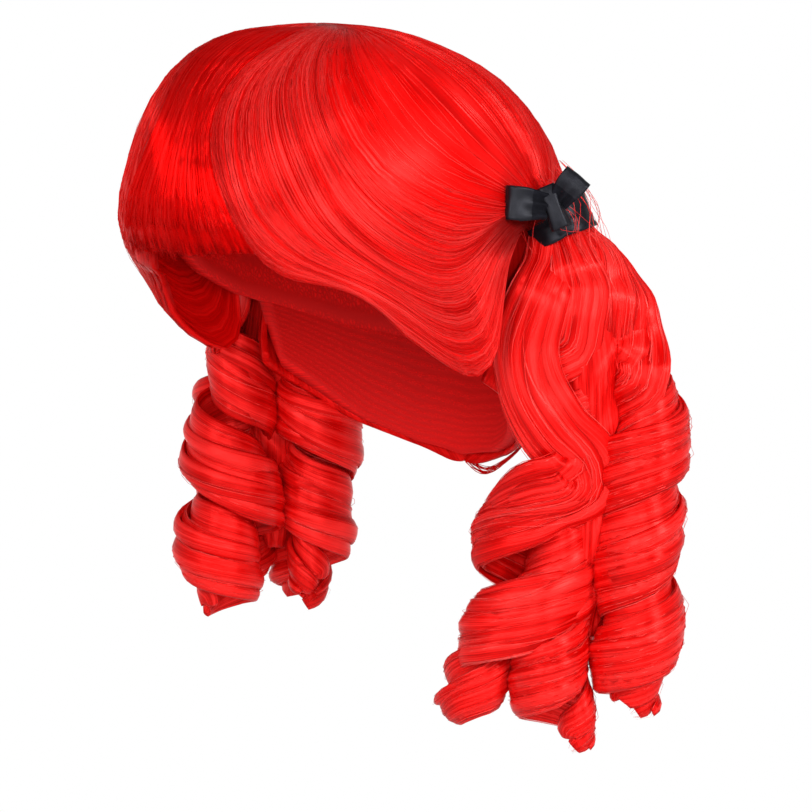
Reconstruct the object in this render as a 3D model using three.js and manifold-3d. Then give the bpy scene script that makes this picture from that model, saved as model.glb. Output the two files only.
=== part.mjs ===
// A costume wig: a hollow cap of hair with a full fringe, temple hair swept back over the ears,
// nape hair, and two ponytails of corkscrew ringlets, each tied with a ribbon and a bow.
// Millimetres, +Z up. The wearer faces -Y and the wearer's left is +X.
// The origin is the inside top of the cap, where it sits on the head.
import * as THREE from "three";
import { mergeVertices } from "three/addons/utils/BufferGeometryUtils.js";
import Module from "manifold-3d";

const wasm = await Module();
wasm.setup();

// ---------------------------------------------------------------- sizes
const GAP = 0.4; // air between neighbouring pieces
const DEG = Math.PI / 180;

const HAIR_RED = "#e01412";
const HAIR_ROUGHNESS = 0.45;
const RIBBON_BLACK = "#24232a";
const RIBBON_ROUGHNESS = 0.35;

// Level by level from the top of the cap down: an oval on the outside of the hair and an oval on the head.
// Ovals are centred on X = 0; mid_y is where the middle of the oval lies.
const CAP_LEVELS = [
  { z: 16.5, half_width: 0, mid_y: -20, half_depth: 0, in_z: 0, in_half_width: 0, in_mid_y: -4, in_half_depth: 0 },
  { z: 14, half_width: 30, mid_y: -19.5, half_depth: 33, in_z: -1.8, in_half_width: 22, in_mid_y: -4, in_half_depth: 27 },
  { z: 7.5, half_width: 50, mid_y: -17.5, half_depth: 55, in_z: -7, in_half_width: 42, in_mid_y: -3, in_half_depth: 52 },
  { z: -4, half_width: 66, mid_y: -11.7, half_depth: 77, in_z: -18, in_half_width: 57, in_mid_y: -2, in_half_depth: 71 },
  { z: -20, half_width: 79, mid_y: -6.3, half_depth: 94, in_z: -33, in_half_width: 67, in_mid_y: -1, in_half_depth: 84 },
  { z: -43, half_width: 89.5, mid_y: -2, half_depth: 108, in_z: -52, in_half_width: 73.5, in_mid_y: 0, in_half_depth: 92 },
  { z: -70, half_width: 95, mid_y: -0.5, half_depth: 115.5, in_z: -75, in_half_width: 76.5, in_mid_y: 0, in_half_depth: 96 },
  { z: -98, half_width: 95.5, mid_y: 0, half_depth: 112, in_z: -100, in_half_width: 77, in_mid_y: 1, in_half_depth: 96 },
  { z: -125, half_width: 93, mid_y: 1, half_depth: 105, in_z: -125, in_half_width: 75, in_mid_y: 5, in_half_depth: 91 },
  { z: -152, half_width: 88, mid_y: 3, half_depth: 97, in_z: -150, in_half_width: 69, in_mid_y: 12, in_half_depth: 79 },
  { z: -176, half_width: 80, mid_y: 6, half_depth: 87, in_z: -174, in_half_width: 62, in_mid_y: 19, in_half_depth: 62 },
  { z: -191, half_width: 74, mid_y: 8, half_depth: 79, in_z: -189, in_half_width: 58, in_mid_y: 22, in_half_depth: 54 },
];

// Lower rim of the cap proper, and lower edge of the nape hair. Angle 0 is the face, 90 the ear, 180 the back.
const CROWN_RIM = [
  { angle: 0, level: 4.8 },
  { angle: 25, level: 5.0 },
  { angle: 45, level: 5.7 },
  { angle: 60, level: 6.4 },
  { angle: 75, level: 7.2 },
  { angle: 90, level: 7.7 },
  { angle: 105, level: 8.0 },
  { angle: 125, level: 8.4 },
  { angle: 150, level: 8.7 },
  { angle: 180, level: 8.8 },
];
const NAPE_FROM_ANGLE = 99;
const NAPE_EDGE = [
  { angle: 99, level: 9.0 },
  { angle: 115, level: 9.7 },
  { angle: 132, level: 10.45 },
  { angle: 155, level: 11.15 },
  { angle: 180, level: 11.4 },
];

// The fringe: half its breadth from the top of the head to the cut over the brow, and how deep it lies in the hair (1 is the outside).
const FRINGE_LEVELS = [
  { level: 1.0, half_breadth: 20, under: 0.8, over: 0.94 },
  { level: 2.0, half_breadth: 26, under: 0.56, over: 1.0 },
  { level: 3.5, half_breadth: 31, under: 0.5, over: 1.0 },
  { level: 4.8, half_breadth: 35, under: 0.48, over: 1.0 },
  { level: 5.6, half_breadth: 37.5, under: 0.3, over: 1.0 },
  { level: 6.25, half_breadth: 39.5, under: 0.22, over: 0.97 },
  { level: 6.62, half_breadth: 40.5, under: 0.2, over: 0.8 },
];

// The swept temple hair: for each angle its upper edge and its lower edge.
const SWEEP_UNDER = 0.45;
const SWEEP_TO_ANGLE = 112;
const SWEEP_EDGES = [
  { angle: 20, top: 2.2, bottom: 6.42 },
  { angle: 30, top: 2.7, bottom: 6.6 },
  { angle: 45, top: 3.7, bottom: 6.95 },
  { angle: 58, top: 4.5, bottom: 7.4 },
  { angle: 66, top: 4.9, bottom: 7.95 },
  { angle: 73, top: 5.2, bottom: 8.42 },
  { angle: 86, top: 5.6, bottom: 8.55 },
  { angle: 96, top: 5.8, bottom: 8.3 },
  { angle: 105, top: 6.0, bottom: 7.6 },
  { angle: 112, top: 6.1, bottom: 6.9 },
];

// The tie of the left ponytail: middle of the ribbon, and the way the bundle of hair runs through it.
const TIE = new THREE.Vector3(92, 46.5, -75);
const TIE_WAY = new THREE.Vector3(0.36, 0.19, -0.91).normalize();
const BUNDLE_RADIUS = 14.5;
const BAND_THICKNESS = 1.4;
const BAND_WIDTH = 16;
const GATHER_ROOT = new THREE.Vector3(73, 37.5, -42); // inside the hair of the cap
const GATHER_ROOT_WAY = new THREE.Vector3(0.6, 0.32, -0.73).normalize();
const GATHER_ROOT_RADIUS = 7.5;

// The bow sits on the ribbon, on the side that faces forward and out.
const RIBBON_WIDTH = 16.5;
const RIBBON_THICKNESS = 1.1;
const KNOT = { across: 9, along: 17, deep: 6.5, up_the_bundle: 6.5 };
const BOW_LOOPS = [
  { name: "front", out: -1, rise: 0.5, lift: 0.4, length: 18, deep: 10, width: RIBBON_WIDTH },
  { name: "back", out: 0.86, rise: 0.5, lift: 0.12, length: 14, deep: 8, width: RIBBON_WIDTH * 0.82 },
];

// The ringlets hang round a line beside the neck. Each lock has a row for each height that it passes:
// out and back place the middle of its coil from that line, and reach is how far the hair winds from that middle.
// coils lists the heights at which the winding faces forward and out; hand is the way it winds.
const HANG = { x: 101, y: 51 };
const RINGLETS = {
  left: [
    { hand: -1, coils: [-142, -182, -230, -270, -302], rows: [
      { z: -112, out: 13, back: 8, reach: 3 },
      { z: -145, out: 20, back: 14, reach: 9 },
      { z: -182, out: 24, back: 18, reach: 18 },
      { z: -230, out: 24, back: 18, reach: 18 },
      { z: -270, out: 23, back: 17, reach: 19 },
      { z: -305, out: 22, back: 17, reach: 12 },
    ] },
    { hand: -1, coils: [-150, -205, -252, -290], rows: [
      { z: -108, out: -6, back: -18, reach: 2 },
      { z: -160, out: -6, back: -22, reach: 7 },
      { z: -205, out: -5, back: -25, reach: 23 },
      { z: -252, out: -14, back: -33, reach: 23 },
      { z: -284, out: -23, back: -41, reach: 16 },
      { z: -304, out: -27, back: -43, reach: 10 },
    ] },
    { hand: -1, coils: [-138, -187, -235, -279, -316], rows: [
      { z: -108, out: 9, back: -11, reach: 7 },
      { z: -138, out: 9, back: -11, reach: 17 },
      { z: -187, out: -6, back: -1, reach: 15 },
      { z: -235, out: -13, back: -3, reach: 14 },
      { z: -279, out: -13, back: -7, reach: 19 },
      { z: -318, out: -2, back: -1, reach: 10 },
    ] },
    { hand: -1, coils: [-120, -168, -214, -258, -296], rows: [
      { z: -108, out: -8, back: 18, reach: 5 },
      { z: -140, out: -10, back: 25, reach: 12 },
      { z: -168, out: -10, back: 29, reach: 17 },
      { z: -214, out: -8, back: 31, reach: 18 },
      { z: -258, out: -5, back: 36, reach: 18 },
      { z: -300, out: -4, back: 37, reach: 12 },
    ] },
  ],
  right: [
    { hand: 1, coils: [-128, -175, -220, -260, -292], rows: [
      { z: -108, out: 9, back: 17, reach: 4 },
      { z: -142, out: 12, back: 25, reach: 11 },
      { z: -175, out: 13, back: 27, reach: 18 },
      { z: -225, out: 14, back: 28, reach: 18 },
      { z: -288, out: 14, back: 28, reach: 12 },
    ] },
    { hand: 1, coils: [-140, -186, -231, -270], rows: [
      { z: -108, out: 17, back: -3, reach: 5 },
      { z: -140, out: 25, back: -4, reach: 15 },
      { z: -186, out: 27, back: -4, reach: 18 },
      { z: -231, out: 27, back: -4, reach: 18 },
      { z: -276, out: 26, back: -4, reach: 11 },
    ] },
    { hand: -1, coils: [-150, -198, -243, -280], rows: [
      { z: -108, out: 2, back: -17, reach: 3 },
      { z: -150, out: 2, back: -25, reach: 11 },
      { z: -198, out: 4, back: -29, reach: 21 },
      { z: -243, out: 6, back: -31, reach: 21 },
      { z: -284, out: 8, back: -33, reach: 12 },
    ] },
    { hand: -1, coils: [-126, -172, -218, -258], rows: [
      { z: -108, out: -10, back: 4, reach: 4 },
      { z: -140, out: -16, back: 7, reach: 12 },
      { z: -172, out: -18, back: 8, reach: 17 },
      { z: -218, out: -18, back: 8, reach: 17 },
      { z: -272, out: -18, back: 8, reach: 11 },
    ] },
  ],
};
const LOCK = { root_breadth: 9.5, top_breadth: 27, breadth: 31, end_breadth: 15, root_depth: 9, top_depth: 19, depth: 8, end_depth: 5, steps: 34, air: 0.7 };

// ---------------------------------------------------------------- tables
// Smooth value of one column of a table, between its rows; at is the column that is looked up.
function column(rows, at, key, x, eased = false) {
  if (x <= rows[0][at]) return rows[0][key];
  const last = rows.length - 1;
  if (x >= rows[last][at]) return rows[last][key];
  let i = 0;
  while (x > rows[i + 1][at]) i++;
  const t = (x - rows[i][at]) / (rows[i + 1][at] - rows[i][at]);
  return rows[i][key] + (rows[i + 1][key] - rows[i][key]) * (eased ? t * t * (3 - 2 * t) : t);
}

// One column of the cap table at a level between its rows, as a smooth curve through them.
function capColumn(key, level) {
  const top = CAP_LEVELS.length - 1;
  const i = Math.min(top - 1, Math.max(0, Math.floor(level)));
  const t = level - i;
  const mirrored = key.includes("half") ? -1 : 1; // above the top of the head the ovals repeat, turned round
  const at = (k) =>
    k < 0 ? mirrored * CAP_LEVELS[-k][key]
    : k > top ? 2 * CAP_LEVELS[top][key] - CAP_LEVELS[2 * top - k][key]
    : CAP_LEVELS[k][key];
  const a = at(i - 1), b = at(i), c = at(i + 1), d = at(i + 2);
  return b + 0.5 * t * (c - a + t * (2 * a - 5 * b + 4 * c - d + t * (3 * (b - c) + d - a)));
}

// A point in the hair of the cap: angle round the head, level down it, depth 0 on the head to 1 outside.
function capPoint(angle, level, depth) {
  const s = Math.sin(angle * DEG), c = Math.cos(angle * DEG);
  const outside = new THREE.Vector3(
    capColumn("half_width", level) * s,
    capColumn("mid_y", level) - capColumn("half_depth", level) * c,
    capColumn("z", level),
  );
  const inside = new THREE.Vector3(
    capColumn("in_half_width", level) * s,
    capColumn("in_mid_y", level) - capColumn("in_half_depth", level) * c,
    capColumn("in_z", level),
  );
  return inside.lerp(outside, depth);
}

const folded = (angle) => Math.abs(((angle + 180) % 360) - 180); // 0 at the face to 180 at the back

// ---------------------------------------------------------------- solids
function manifoldOf(geometry) {
  const g = geometry.clone();
  g.deleteAttribute("normal");
  g.deleteAttribute("uv");
  const m = mergeVertices(g, 1e-4);
  const made = new wasm.Manifold(
    new wasm.Mesh({ numProp: 3, vertProperties: new Float32Array(m.attributes.position.array), triVerts: new Uint32Array(m.index.array) }),
  );
  return made;
}

function geometryOf(solid) {
  const m = solid.getMesh();
  const p = new Float32Array(m.numVert * 3);
  for (let i = 0; i < m.numVert; i++) p.set(m.vertProperties.subarray(i * m.numProp, i * m.numProp + 3), i * 3);
  const g = new THREE.BufferGeometry();
  g.setAttribute("position", new THREE.BufferAttribute(p, 3));
  g.setIndex(new THREE.BufferAttribute(new Uint32Array(m.triVerts), 1));
  return g;
}

// The main body of a cut piece, without the slivers of the cut.
const SLIVER = 0.12;
const biggest = (solid) => solid.decompose().reduce((a, b) => (b.volume() > a.volume() ? b : a));
const largest = (solid) => biggest(biggest(solid).simplify(SLIVER));

function buffer(points, triangles) {
  const g = new THREE.BufferGeometry();
  g.setAttribute("position", new THREE.Float32BufferAttribute(points.flatMap((p) => [p.x, p.y, p.z]), 3));
  g.setIndex(triangles);
  return g;
}

// Faces out: turns every triangle round if the solid came out inside out.
function facingOut(geometry) {
  const p = geometry.attributes.position, ix = geometry.index.array;
  const a = new THREE.Vector3(), b = new THREE.Vector3(), c = new THREE.Vector3();
  let volume = 0;
  for (let i = 0; i < ix.length; i += 3) {
    a.fromBufferAttribute(p, ix[i]);
    b.fromBufferAttribute(p, ix[i + 1]);
    c.fromBufferAttribute(p, ix[i + 2]);
    volume += a.dot(b.cross(c));
  }
  if (volume < 0) for (let i = 0; i < ix.length; i += 3) [ix[i + 1], ix[i + 2]] = [ix[i + 2], ix[i + 1]];
  return geometry;
}

// A curved slab: point(u, v, side) with u and v from 0 to 1 and side 0 below, 1 above.
function slab(nu, nv, point) {
  const points = [], triangles = [];
  const id = (i, j, side) => side * (nu + 1) * (nv + 1) + i * (nv + 1) + j;
  for (const side of [0, 1])
    for (let i = 0; i <= nu; i++) for (let j = 0; j <= nv; j++) points.push(point(i / nu, j / nv, side));
  const quad = (a, b, c, d) => triangles.push(a, b, c, a, c, d);
  for (let i = 0; i < nu; i++)
    for (let j = 0; j < nv; j++) {
      quad(id(i, j, 1), id(i + 1, j, 1), id(i + 1, j + 1, 1), id(i, j + 1, 1));
      quad(id(i, j, 0), id(i, j + 1, 0), id(i + 1, j + 1, 0), id(i + 1, j, 0));
    }
  for (let i = 0; i < nu; i++) {
    quad(id(i, 0, 0), id(i + 1, 0, 0), id(i + 1, 0, 1), id(i, 0, 1));
    quad(id(i + 1, nv, 0), id(i, nv, 0), id(i, nv, 1), id(i + 1, nv, 1));
  }
  for (let j = 0; j < nv; j++) {
    quad(id(0, j + 1, 0), id(0, j, 0), id(0, j, 1), id(0, j + 1, 1));
    quad(id(nu, j, 0), id(nu, j + 1, 0), id(nu, j + 1, 1), id(nu, j, 1));
  }
  return facingOut(buffer(points, triangles));
}

// The cap from its top to a rim, as a shell between two depths.
function dome(around, down, rim, under, over) {
  const points = [capPoint(0, 0, over), capPoint(0, 0, under)], triangles = [];
  const id = (side, i, j) => 2 + side * around * down + (i % around) * down + (j - 1);
  for (const depth of [over, under])
    for (let i = 0; i < around; i++)
      for (let j = 1; j <= down; j++) {
        const angle = (360 * i) / around;
        points.push(capPoint(angle, (rim(angle) * j) / down, depth));
      }
  for (let i = 0; i < around; i++) {
    triangles.push(0, id(0, i, 1), id(0, i + 1, 1), 1, id(1, i + 1, 1), id(1, i, 1));
    for (let j = 1; j < down; j++) {
      triangles.push(id(0, i, j), id(0, i, j + 1), id(0, i + 1, j + 1), id(0, i, j), id(0, i + 1, j + 1), id(0, i + 1, j));
      triangles.push(id(1, i, j), id(1, i + 1, j + 1), id(1, i, j + 1), id(1, i, j), id(1, i + 1, j), id(1, i + 1, j + 1));
    }
    triangles.push(id(0, i, down), id(1, i, down), id(1, i + 1, down), id(0, i, down), id(1, i + 1, down), id(0, i + 1, down));
  }
  return facingOut(buffer(points, triangles));
}

// A bar swept through rows of { at, across, deep, half_across, half_deep }, closed at both ends.
const BAR_SECTION = [
  { a: -1, d: 0 }, { a: -0.62, d: -1 }, { a: 0.62, d: -1 }, { a: 1, d: 0 }, { a: 0.62, d: 1 }, { a: -0.62, d: 1 },
];
function bar(rows, section = BAR_SECTION) {
  const n = section.length, points = [], triangles = [];
  for (const r of rows)
    for (const q of section)
      points.push(r.at.clone().addScaledVector(r.across, q.a * r.half_across).addScaledVector(r.deep, q.d * r.half_deep));
  for (let k = 0; k < rows.length - 1; k++)
    for (let i = 0; i < n; i++) {
      const a = k * n + i, b = k * n + ((i + 1) % n), c = a + n, d = b + n;
      triangles.push(a, b, d, a, d, c);
    }
  const end = (rows.length - 1) * n;
  for (let i = 1; i < n - 1; i++) triangles.push(0, i + 1, i, end, end + i, end + i + 1);
  return facingOut(buffer(points, triangles));
}

// ---------------------------------------------------------------- pieces of the cap
const fringeEdge = (level) => {
  const s = column(FRINGE_LEVELS, "level", "half_breadth", level) / capColumn("half_width", level);
  return Math.asin(Math.min(0.95, s)) / DEG;
};
function fringe(grow) {
  const first = FRINGE_LEVELS[0].level, last = FRINGE_LEVELS[FRINGE_LEVELS.length - 1].level;
  return slab(8, 8, (u, v, side) => {
    const level = first + (last - first) * v + (v < 0.5 ? -1 : 1) * grow * 0.05;
    const edge = fringeEdge(level) + grow * 0.6;
    const depth = side
      ? column(FRINGE_LEVELS, "level", "over", level) + grow * 0.3
      : column(FRINGE_LEVELS, "level", "under", level) - grow * 0.06;
    return capPoint(edge * (2 * u - 1), level, depth);
  });
}

function sideSweep(side, grow) {
  const first = SWEEP_EDGES[0];
  return slab(11, 4, (u, v, over) => {
    const start = fringeEdge(first.top + (first.bottom - first.top) * v) + 0.8 - grow * 0.55;
    const angle = start + (SWEEP_TO_ANGLE + grow * 0.5 - start) * u;
    const top = column(SWEEP_EDGES, "angle", "top", angle) - grow * 0.04;
    const bottom = column(SWEEP_EDGES, "angle", "bottom", angle) + grow * 0.04;
    const level = top + (bottom - top) * v;
    const taper = Math.min(1, 0.35 + 2.2 * v) * Math.min(1, 0.55 + 2.5 * (1 - v)); // thin along both long edges
    const under = 1 - (1 - SWEEP_UNDER) * taper;
    const p = capPoint(angle, level, over ? 1 + grow * 0.3 : under - grow * 0.07);
    p.x *= side;
    return p;
  });
}

function napeHair(grow) {
  const to = 360 - NAPE_FROM_ANGLE;
  return slab(14, 3, (u, v, over) => {
    const angle = NAPE_FROM_ANGLE + (to - NAPE_FROM_ANGLE) * u;
    const top = column(CROWN_RIM, "angle", "level", folded(angle)) + 0.03;
    const bottom = column(NAPE_EDGE, "angle", "level", folded(angle));
    return capPoint(angle, top + (bottom - top) * v, over ? 1 - 0.18 * v * v + grow * 0.1 : 0.06);
  });
}

// ---------------------------------------------------------------- tie, ribbon and bow of the left side
const FORWARD_OUT = new THREE.Vector3(1, -1, 0).normalize();
const BOW_FACE = FORWARD_OUT.clone().addScaledVector(TIE_WAY, -FORWARD_OUT.dot(TIE_WAY)).normalize();
const BOW_SIDE = new THREE.Vector3().crossVectors(TIE_WAY, BOW_FACE).negate().normalize(); // to the back and out
const BOW_UP = TIE_WAY.clone().negate();

const ROUND = Array.from({ length: 12 }, (_, i) => ({ a: Math.cos((i * 2 * Math.PI) / 12), d: Math.sin((i * 2 * Math.PI) / 12) }));

function gather(grow) {
  const end = TIE.clone().addScaledVector(TIE_WAY, BAND_WIDTH * 0.5 + 1);
  const curve = new THREE.CubicBezierCurve3(
    GATHER_ROOT,
    GATHER_ROOT.clone().addScaledVector(GATHER_ROOT_WAY, 13),
    TIE.clone().addScaledVector(TIE_WAY, -9),
    end,
  );
  const rows = [];
  for (let k = 0; k <= 7; k++) {
    const t = k / 7;
    const along = curve.getTangent(t);
    const across = new THREE.Vector3().crossVectors(along, BOW_FACE).normalize();
    const deep = new THREE.Vector3().crossVectors(across, along).normalize();
    const r = GATHER_ROOT_RADIUS + (BUNDLE_RADIUS - GATHER_ROOT_RADIUS) * Math.sin(Math.min(1, t * 1.6) * 90 * DEG) + grow;
    const past = k === 0 ? -grow : k === 7 ? grow : 0;
    rows.push({ at: curve.getPoint(t).addScaledVector(along, past), across, deep, half_across: r, half_deep: r });
  }
  return bar(rows, ROUND);
}

// Turns a shape made round Z at the origin so that Z runs along a direction at a place.
const placed = (geometry, x, y, z, at) => geometry.applyMatrix4(new THREE.Matrix4().makeBasis(x, y, z).setPosition(at));

function ribbonBand(grow) {
  const r = BUNDLE_RADIUS + GAP - grow, R = BUNDLE_RADIUS + GAP + BAND_THICKNESS + grow, h = BAND_WIDTH / 2 + grow;
  const profile = [
    [r, -h], [R + 0.8, -h], [R, -h * 0.3], [R, h * 0.4], [R + 1.0, h], [r, h], [r, -h],
  ].map(([x, y]) => new THREE.Vector2(Math.max(0.01, x), y));
  const g = new THREE.LatheGeometry(profile, 16);
  return facingOut(mergeVertices(stripped(placed(g, BOW_FACE, TIE_WAY, new THREE.Vector3().crossVectors(BOW_FACE, TIE_WAY), TIE)), 1e-4));
}
function stripped(g) {
  g.deleteAttribute("normal");
  g.deleteAttribute("uv");
  return g;
}

const KNOT_AT = TIE.clone()
  .addScaledVector(TIE_WAY, -KNOT.up_the_bundle)
  .addScaledVector(BOW_FACE, BUNDLE_RADIUS + GAP * 2 + BAND_THICKNESS + 1.4 + KNOT.deep / 2);

// The knot strip: a soft cushion across the bow.
function bowKnot(grow) {
  const outline = new THREE.Shape();
  outline.absellipse(0, 0, KNOT.across / 2 + grow, KNOT.deep / 2 + grow, 0, Math.PI * 2, false, 0);
  const g = new THREE.ExtrudeGeometry(outline, { depth: KNOT.along + 2 * grow, bevelEnabled: false, curveSegments: 8 });
  g.translate(0, 0, -KNOT.along / 2 - grow);
  return facingOut(mergeVertices(stripped(placed(g, BOW_SIDE, BOW_FACE, BOW_UP, KNOT_AT)), 1e-4));
}

// A loop of the bow: a drop-shaped ring of ribbon, as wide as the ribbon.
function bowLoop(loop, grow) {
  const way = BOW_SIDE.clone().multiplyScalar(loop.out).addScaledVector(BOW_UP, loop.rise).addScaledVector(BOW_FACE, loop.lift).normalize();
  const across = new THREE.Vector3().crossVectors(BOW_FACE, way).normalize();
  const face = new THREE.Vector3().crossVectors(way, across).normalize();
  const start = KNOT.across / 2 + GAP - grow;
  const drop = (shrink) => {
    const l = start + loop.length - shrink, d = loop.deep / 2 - shrink, s = start + shrink * 1.2;
    const path = new THREE.Path();
    path.moveTo(s, -d * 0.45);
    path.bezierCurveTo(s + 6, -d, l - 5, -d * 1.25, l - 1.2, -d * 0.75);
    path.bezierCurveTo(l + 0.4, -d * 0.4, l + 0.4, d * 0.4, l - 1.2, d * 0.75);
    path.bezierCurveTo(l - 5, d * 1.25, s + 6, d, s, d * 0.45);
    path.lineTo(s, -d * 0.45);
    return path;
  };
  const outline = new THREE.Shape(drop(-grow).getPoints(5));
  if (!grow) outline.holes.push(new THREE.Path(drop(RIBBON_THICKNESS).getPoints(5)));
  const g = new THREE.ExtrudeGeometry(outline, { depth: loop.width + 2 * grow, bevelEnabled: false, curveSegments: 5 });
  g.translate(0, 0, -loop.width / 2 - grow);
  return facingOut(mergeVertices(stripped(placed(g, way, face, across, KNOT_AT)), 1e-4));
}

// ---------------------------------------------------------------- ringlets
// Turns of a lock at a height: 0 where the first coil faces forward and out, 1 at the next coil.
function turnsAt(coils, z) {
  let i = 0;
  while (i < coils.length - 2 && z < coils[i + 1]) i++;
  return i + (coils[i] - z) / (coils[i] - coils[i + 1]);
}

const smooth = (a, b, x) => {
  const t = Math.min(1, Math.max(0, (x - a) / (b - a)));
  return t * t * (3 - 2 * t);
};

const BACK_OUT = new THREE.Vector3(1, 1, 0).normalize();
function ringlet(lock, grow) {
  const first = lock.rows[0], down = [...lock.rows].map((r) => ({ ...r, fall: -r.z }));
  const fan = new THREE.Vector3(first.out, first.back, 0).normalize();
  fan.addScaledVector(TIE_WAY, -fan.dot(TIE_WAY)).normalize();
  const start = TIE.clone().addScaledVector(TIE_WAY, BAND_WIDTH * 0.5 + 1 + GAP + 0.3);
  const axis = new THREE.CatmullRomCurve3(
    [
      start.clone().addScaledVector(fan, 8),
      start.clone().addScaledVector(TIE_WAY, 12).addScaledVector(fan, 13.5),
      ...lock.rows.map((r) => new THREE.Vector3(HANG.x + r.out, HANG.y + r.back, r.z)),
    ],
    false,
    "centripetal",
  );
  // From the tie to its first coil a lock turns from the way it fans out to the way it winds, by less than half a turn.
  const settled = lock.rows[1].z, settled_turn = turnsAt(lock.coils, settled) * lock.hand;
  const fan_turn = Math.atan2(fan.dot(BACK_OUT), fan.dot(FORWARD_OUT)) / (2 * Math.PI);
  const root_turn = fan_turn + 0.5 * Math.round((settled_turn - 0.2 * lock.hand - fan_turn) / 0.5);
  const winding = (p) => {
    const twist = Math.min(1, Math.max(0, (p.z - start.z) / (settled - start.z)));
    const turn = 2 * Math.PI * (p.z > settled ? root_turn + (settled_turn - root_turn) * twist : turnsAt(lock.coils, p.z) * lock.hand);
    const way = FORWARD_OUT.clone().multiplyScalar(Math.cos(turn)).addScaledVector(BACK_OUT, Math.sin(turn));
    const reach = column(down, "fall", "reach", -p.z, true) * smooth(start.z, first.z, p.z);
    return { way, reach };
  };
  const centre = (t) => {
    const p = axis.getPointAt(t), w = winding(p);
    return p.addScaledVector(w.way, w.reach);
  };
  const rows = [];
  for (let k = 0; k <= LOCK.steps; k++) {
    const t = k / LOCK.steps, e = 0.025;
    const at = centre(t);
    const along = centre(Math.min(1, t + e)).sub(centre(Math.max(0, t - e))).normalize();
    const p = axis.getPointAt(t), deep = winding(p).way; // a lock twists on itself before it opens into a coil
    deep.addScaledVector(along, -deep.dot(along)).normalize();
    const across = new THREE.Vector3().crossVectors(along, deep).normalize();
    const fan_out = smooth(0, 0.12, t), open = smooth(0.12, 0.34, t), close = smooth(0.86, 1, t);
    if (k === 0 || k === LOCK.steps) at.addScaledVector(along, k ? grow : -grow);
    const breadth = LOCK.root_breadth + (LOCK.top_breadth - LOCK.root_breadth) * fan_out + (LOCK.breadth - LOCK.top_breadth) * open - (LOCK.breadth - LOCK.end_breadth) * close;
    const depth = LOCK.root_depth + (LOCK.top_depth - LOCK.root_depth) * fan_out + (LOCK.depth - LOCK.top_depth) * open - (LOCK.depth - LOCK.end_depth) * close;
    rows.push({ at, across, deep, half_across: breadth / 2 + grow, half_deep: depth / 2 + grow });
  }
  return bar(rows);
}

// ---------------------------------------------------------------- assembly
const solids = new Map(); // name to solid
const mirrored = (solid, side) => (side > 0 ? solid : solid.mirror([1, 0, 0]));

const cut = (solid, ...others) => biggest(others.reduce((s, o) => s.subtract(o), solid));
// Where a piece still touches a lock, it also gives way by the gap on every side of that lock.
const SIDES = [[GAP, 0, 0], [-GAP, 0, 0], [0, GAP, 0], [0, -GAP, 0], [0, 0, GAP], [0, 0, -GAP]];
const giveWay = (solid, locks) =>
  locks.reduce((s, lock) => (s.intersect(lock).volume() > 0 ? cut(s, ...SIDES.map((step) => lock.translate(step))) : s), solid);
const bothSides = [{ name: "left", sign: 1 }, { name: "right", sign: -1 }];
const clearances = []; // room that the cap leaves for the ties
const locks = [];
for (const { name, sign } of bothSides) {
  const grown = (make) => mirrored(manifoldOf(make), sign);
  const gathered = grown(gather(0));
  const around = grown(gather(GAP));
  const bandRoom = grown(ribbonBand(GAP));
  const knotRoom = grown(bowKnot(GAP));
  solids.set("gather_" + name, gathered);
  solids.set("ribbon_band_" + name, largest(grown(ribbonBand(0)).subtract(around)));
  solids.set("bow_knot_" + name, grown(bowKnot(0)).subtract(bandRoom));
  clearances.push(around, bandRoom, knotRoom);
  const taken = [around, bandRoom, knotRoom];
  for (const loop of BOW_LOOPS) {
    let made = grown(bowLoop(loop, 0));
    for (const other of taken) made = made.subtract(other);
    solids.set("bow_loop_" + loop.name + "_" + name, largest(made));
    const room = grown(bowLoop(loop, GAP));
    clearances.push(room);
    taken.push(room);
  }
  RINGLETS[name].forEach((row, i) => {
    let made = grown(ringlet(row, 0));
    for (const other of taken) made = made.subtract(other);
    made = giveWay(largest(made), locks);
    solids.set("ringlet_" + name + "_" + (i + 1), made);
    locks.push(made);
    const room = grown(ringlet(row, LOCK.air));
    taken.push(room);
    clearances.push(room);
  });
}

const fringeRoom = manifoldOf(fringe(1));
const sweepRooms = bothSides.map(({ sign }) => manifoldOf(sideSweep(sign, 1)));
const crownRim = (angle) => column(CROWN_RIM, "angle", "level", folded(angle));
solids.set("fringe", manifoldOf(fringe(0)));
bothSides.forEach(({ name, sign }) => {
  solids.set("side_sweep_" + name, giveWay(cut(manifoldOf(sideSweep(sign, 0)), fringeRoom, ...clearances), locks));
});
solids.set("crown", giveWay(cut(manifoldOf(dome(26, 8, crownRim, 0, 1)), fringeRoom, ...sweepRooms, ...clearances), locks));
solids.set("nape_hair", giveWay(cut(manifoldOf(napeHair(0)), ...sweepRooms, ...clearances), locks));

const group = new THREE.Group();
group.name = "wig";
for (const [name, solid] of solids) {
  const ribbon = name.startsWith("ribbon") || name.startsWith("bow");
  const mesh = new THREE.Mesh(
    geometryOf(solid),
    new THREE.MeshStandardMaterial({
      color: ribbon ? RIBBON_BLACK : HAIR_RED,
      roughness: ribbon ? RIBBON_ROUGHNESS : HAIR_ROUGHNESS,
      metalness: 0,
    }),
  );
  mesh.name = name;
  group.add(mesh);
}

export default group;
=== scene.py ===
import math

import bpy
import numpy as np
from mathutils import Matrix, Vector


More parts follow.
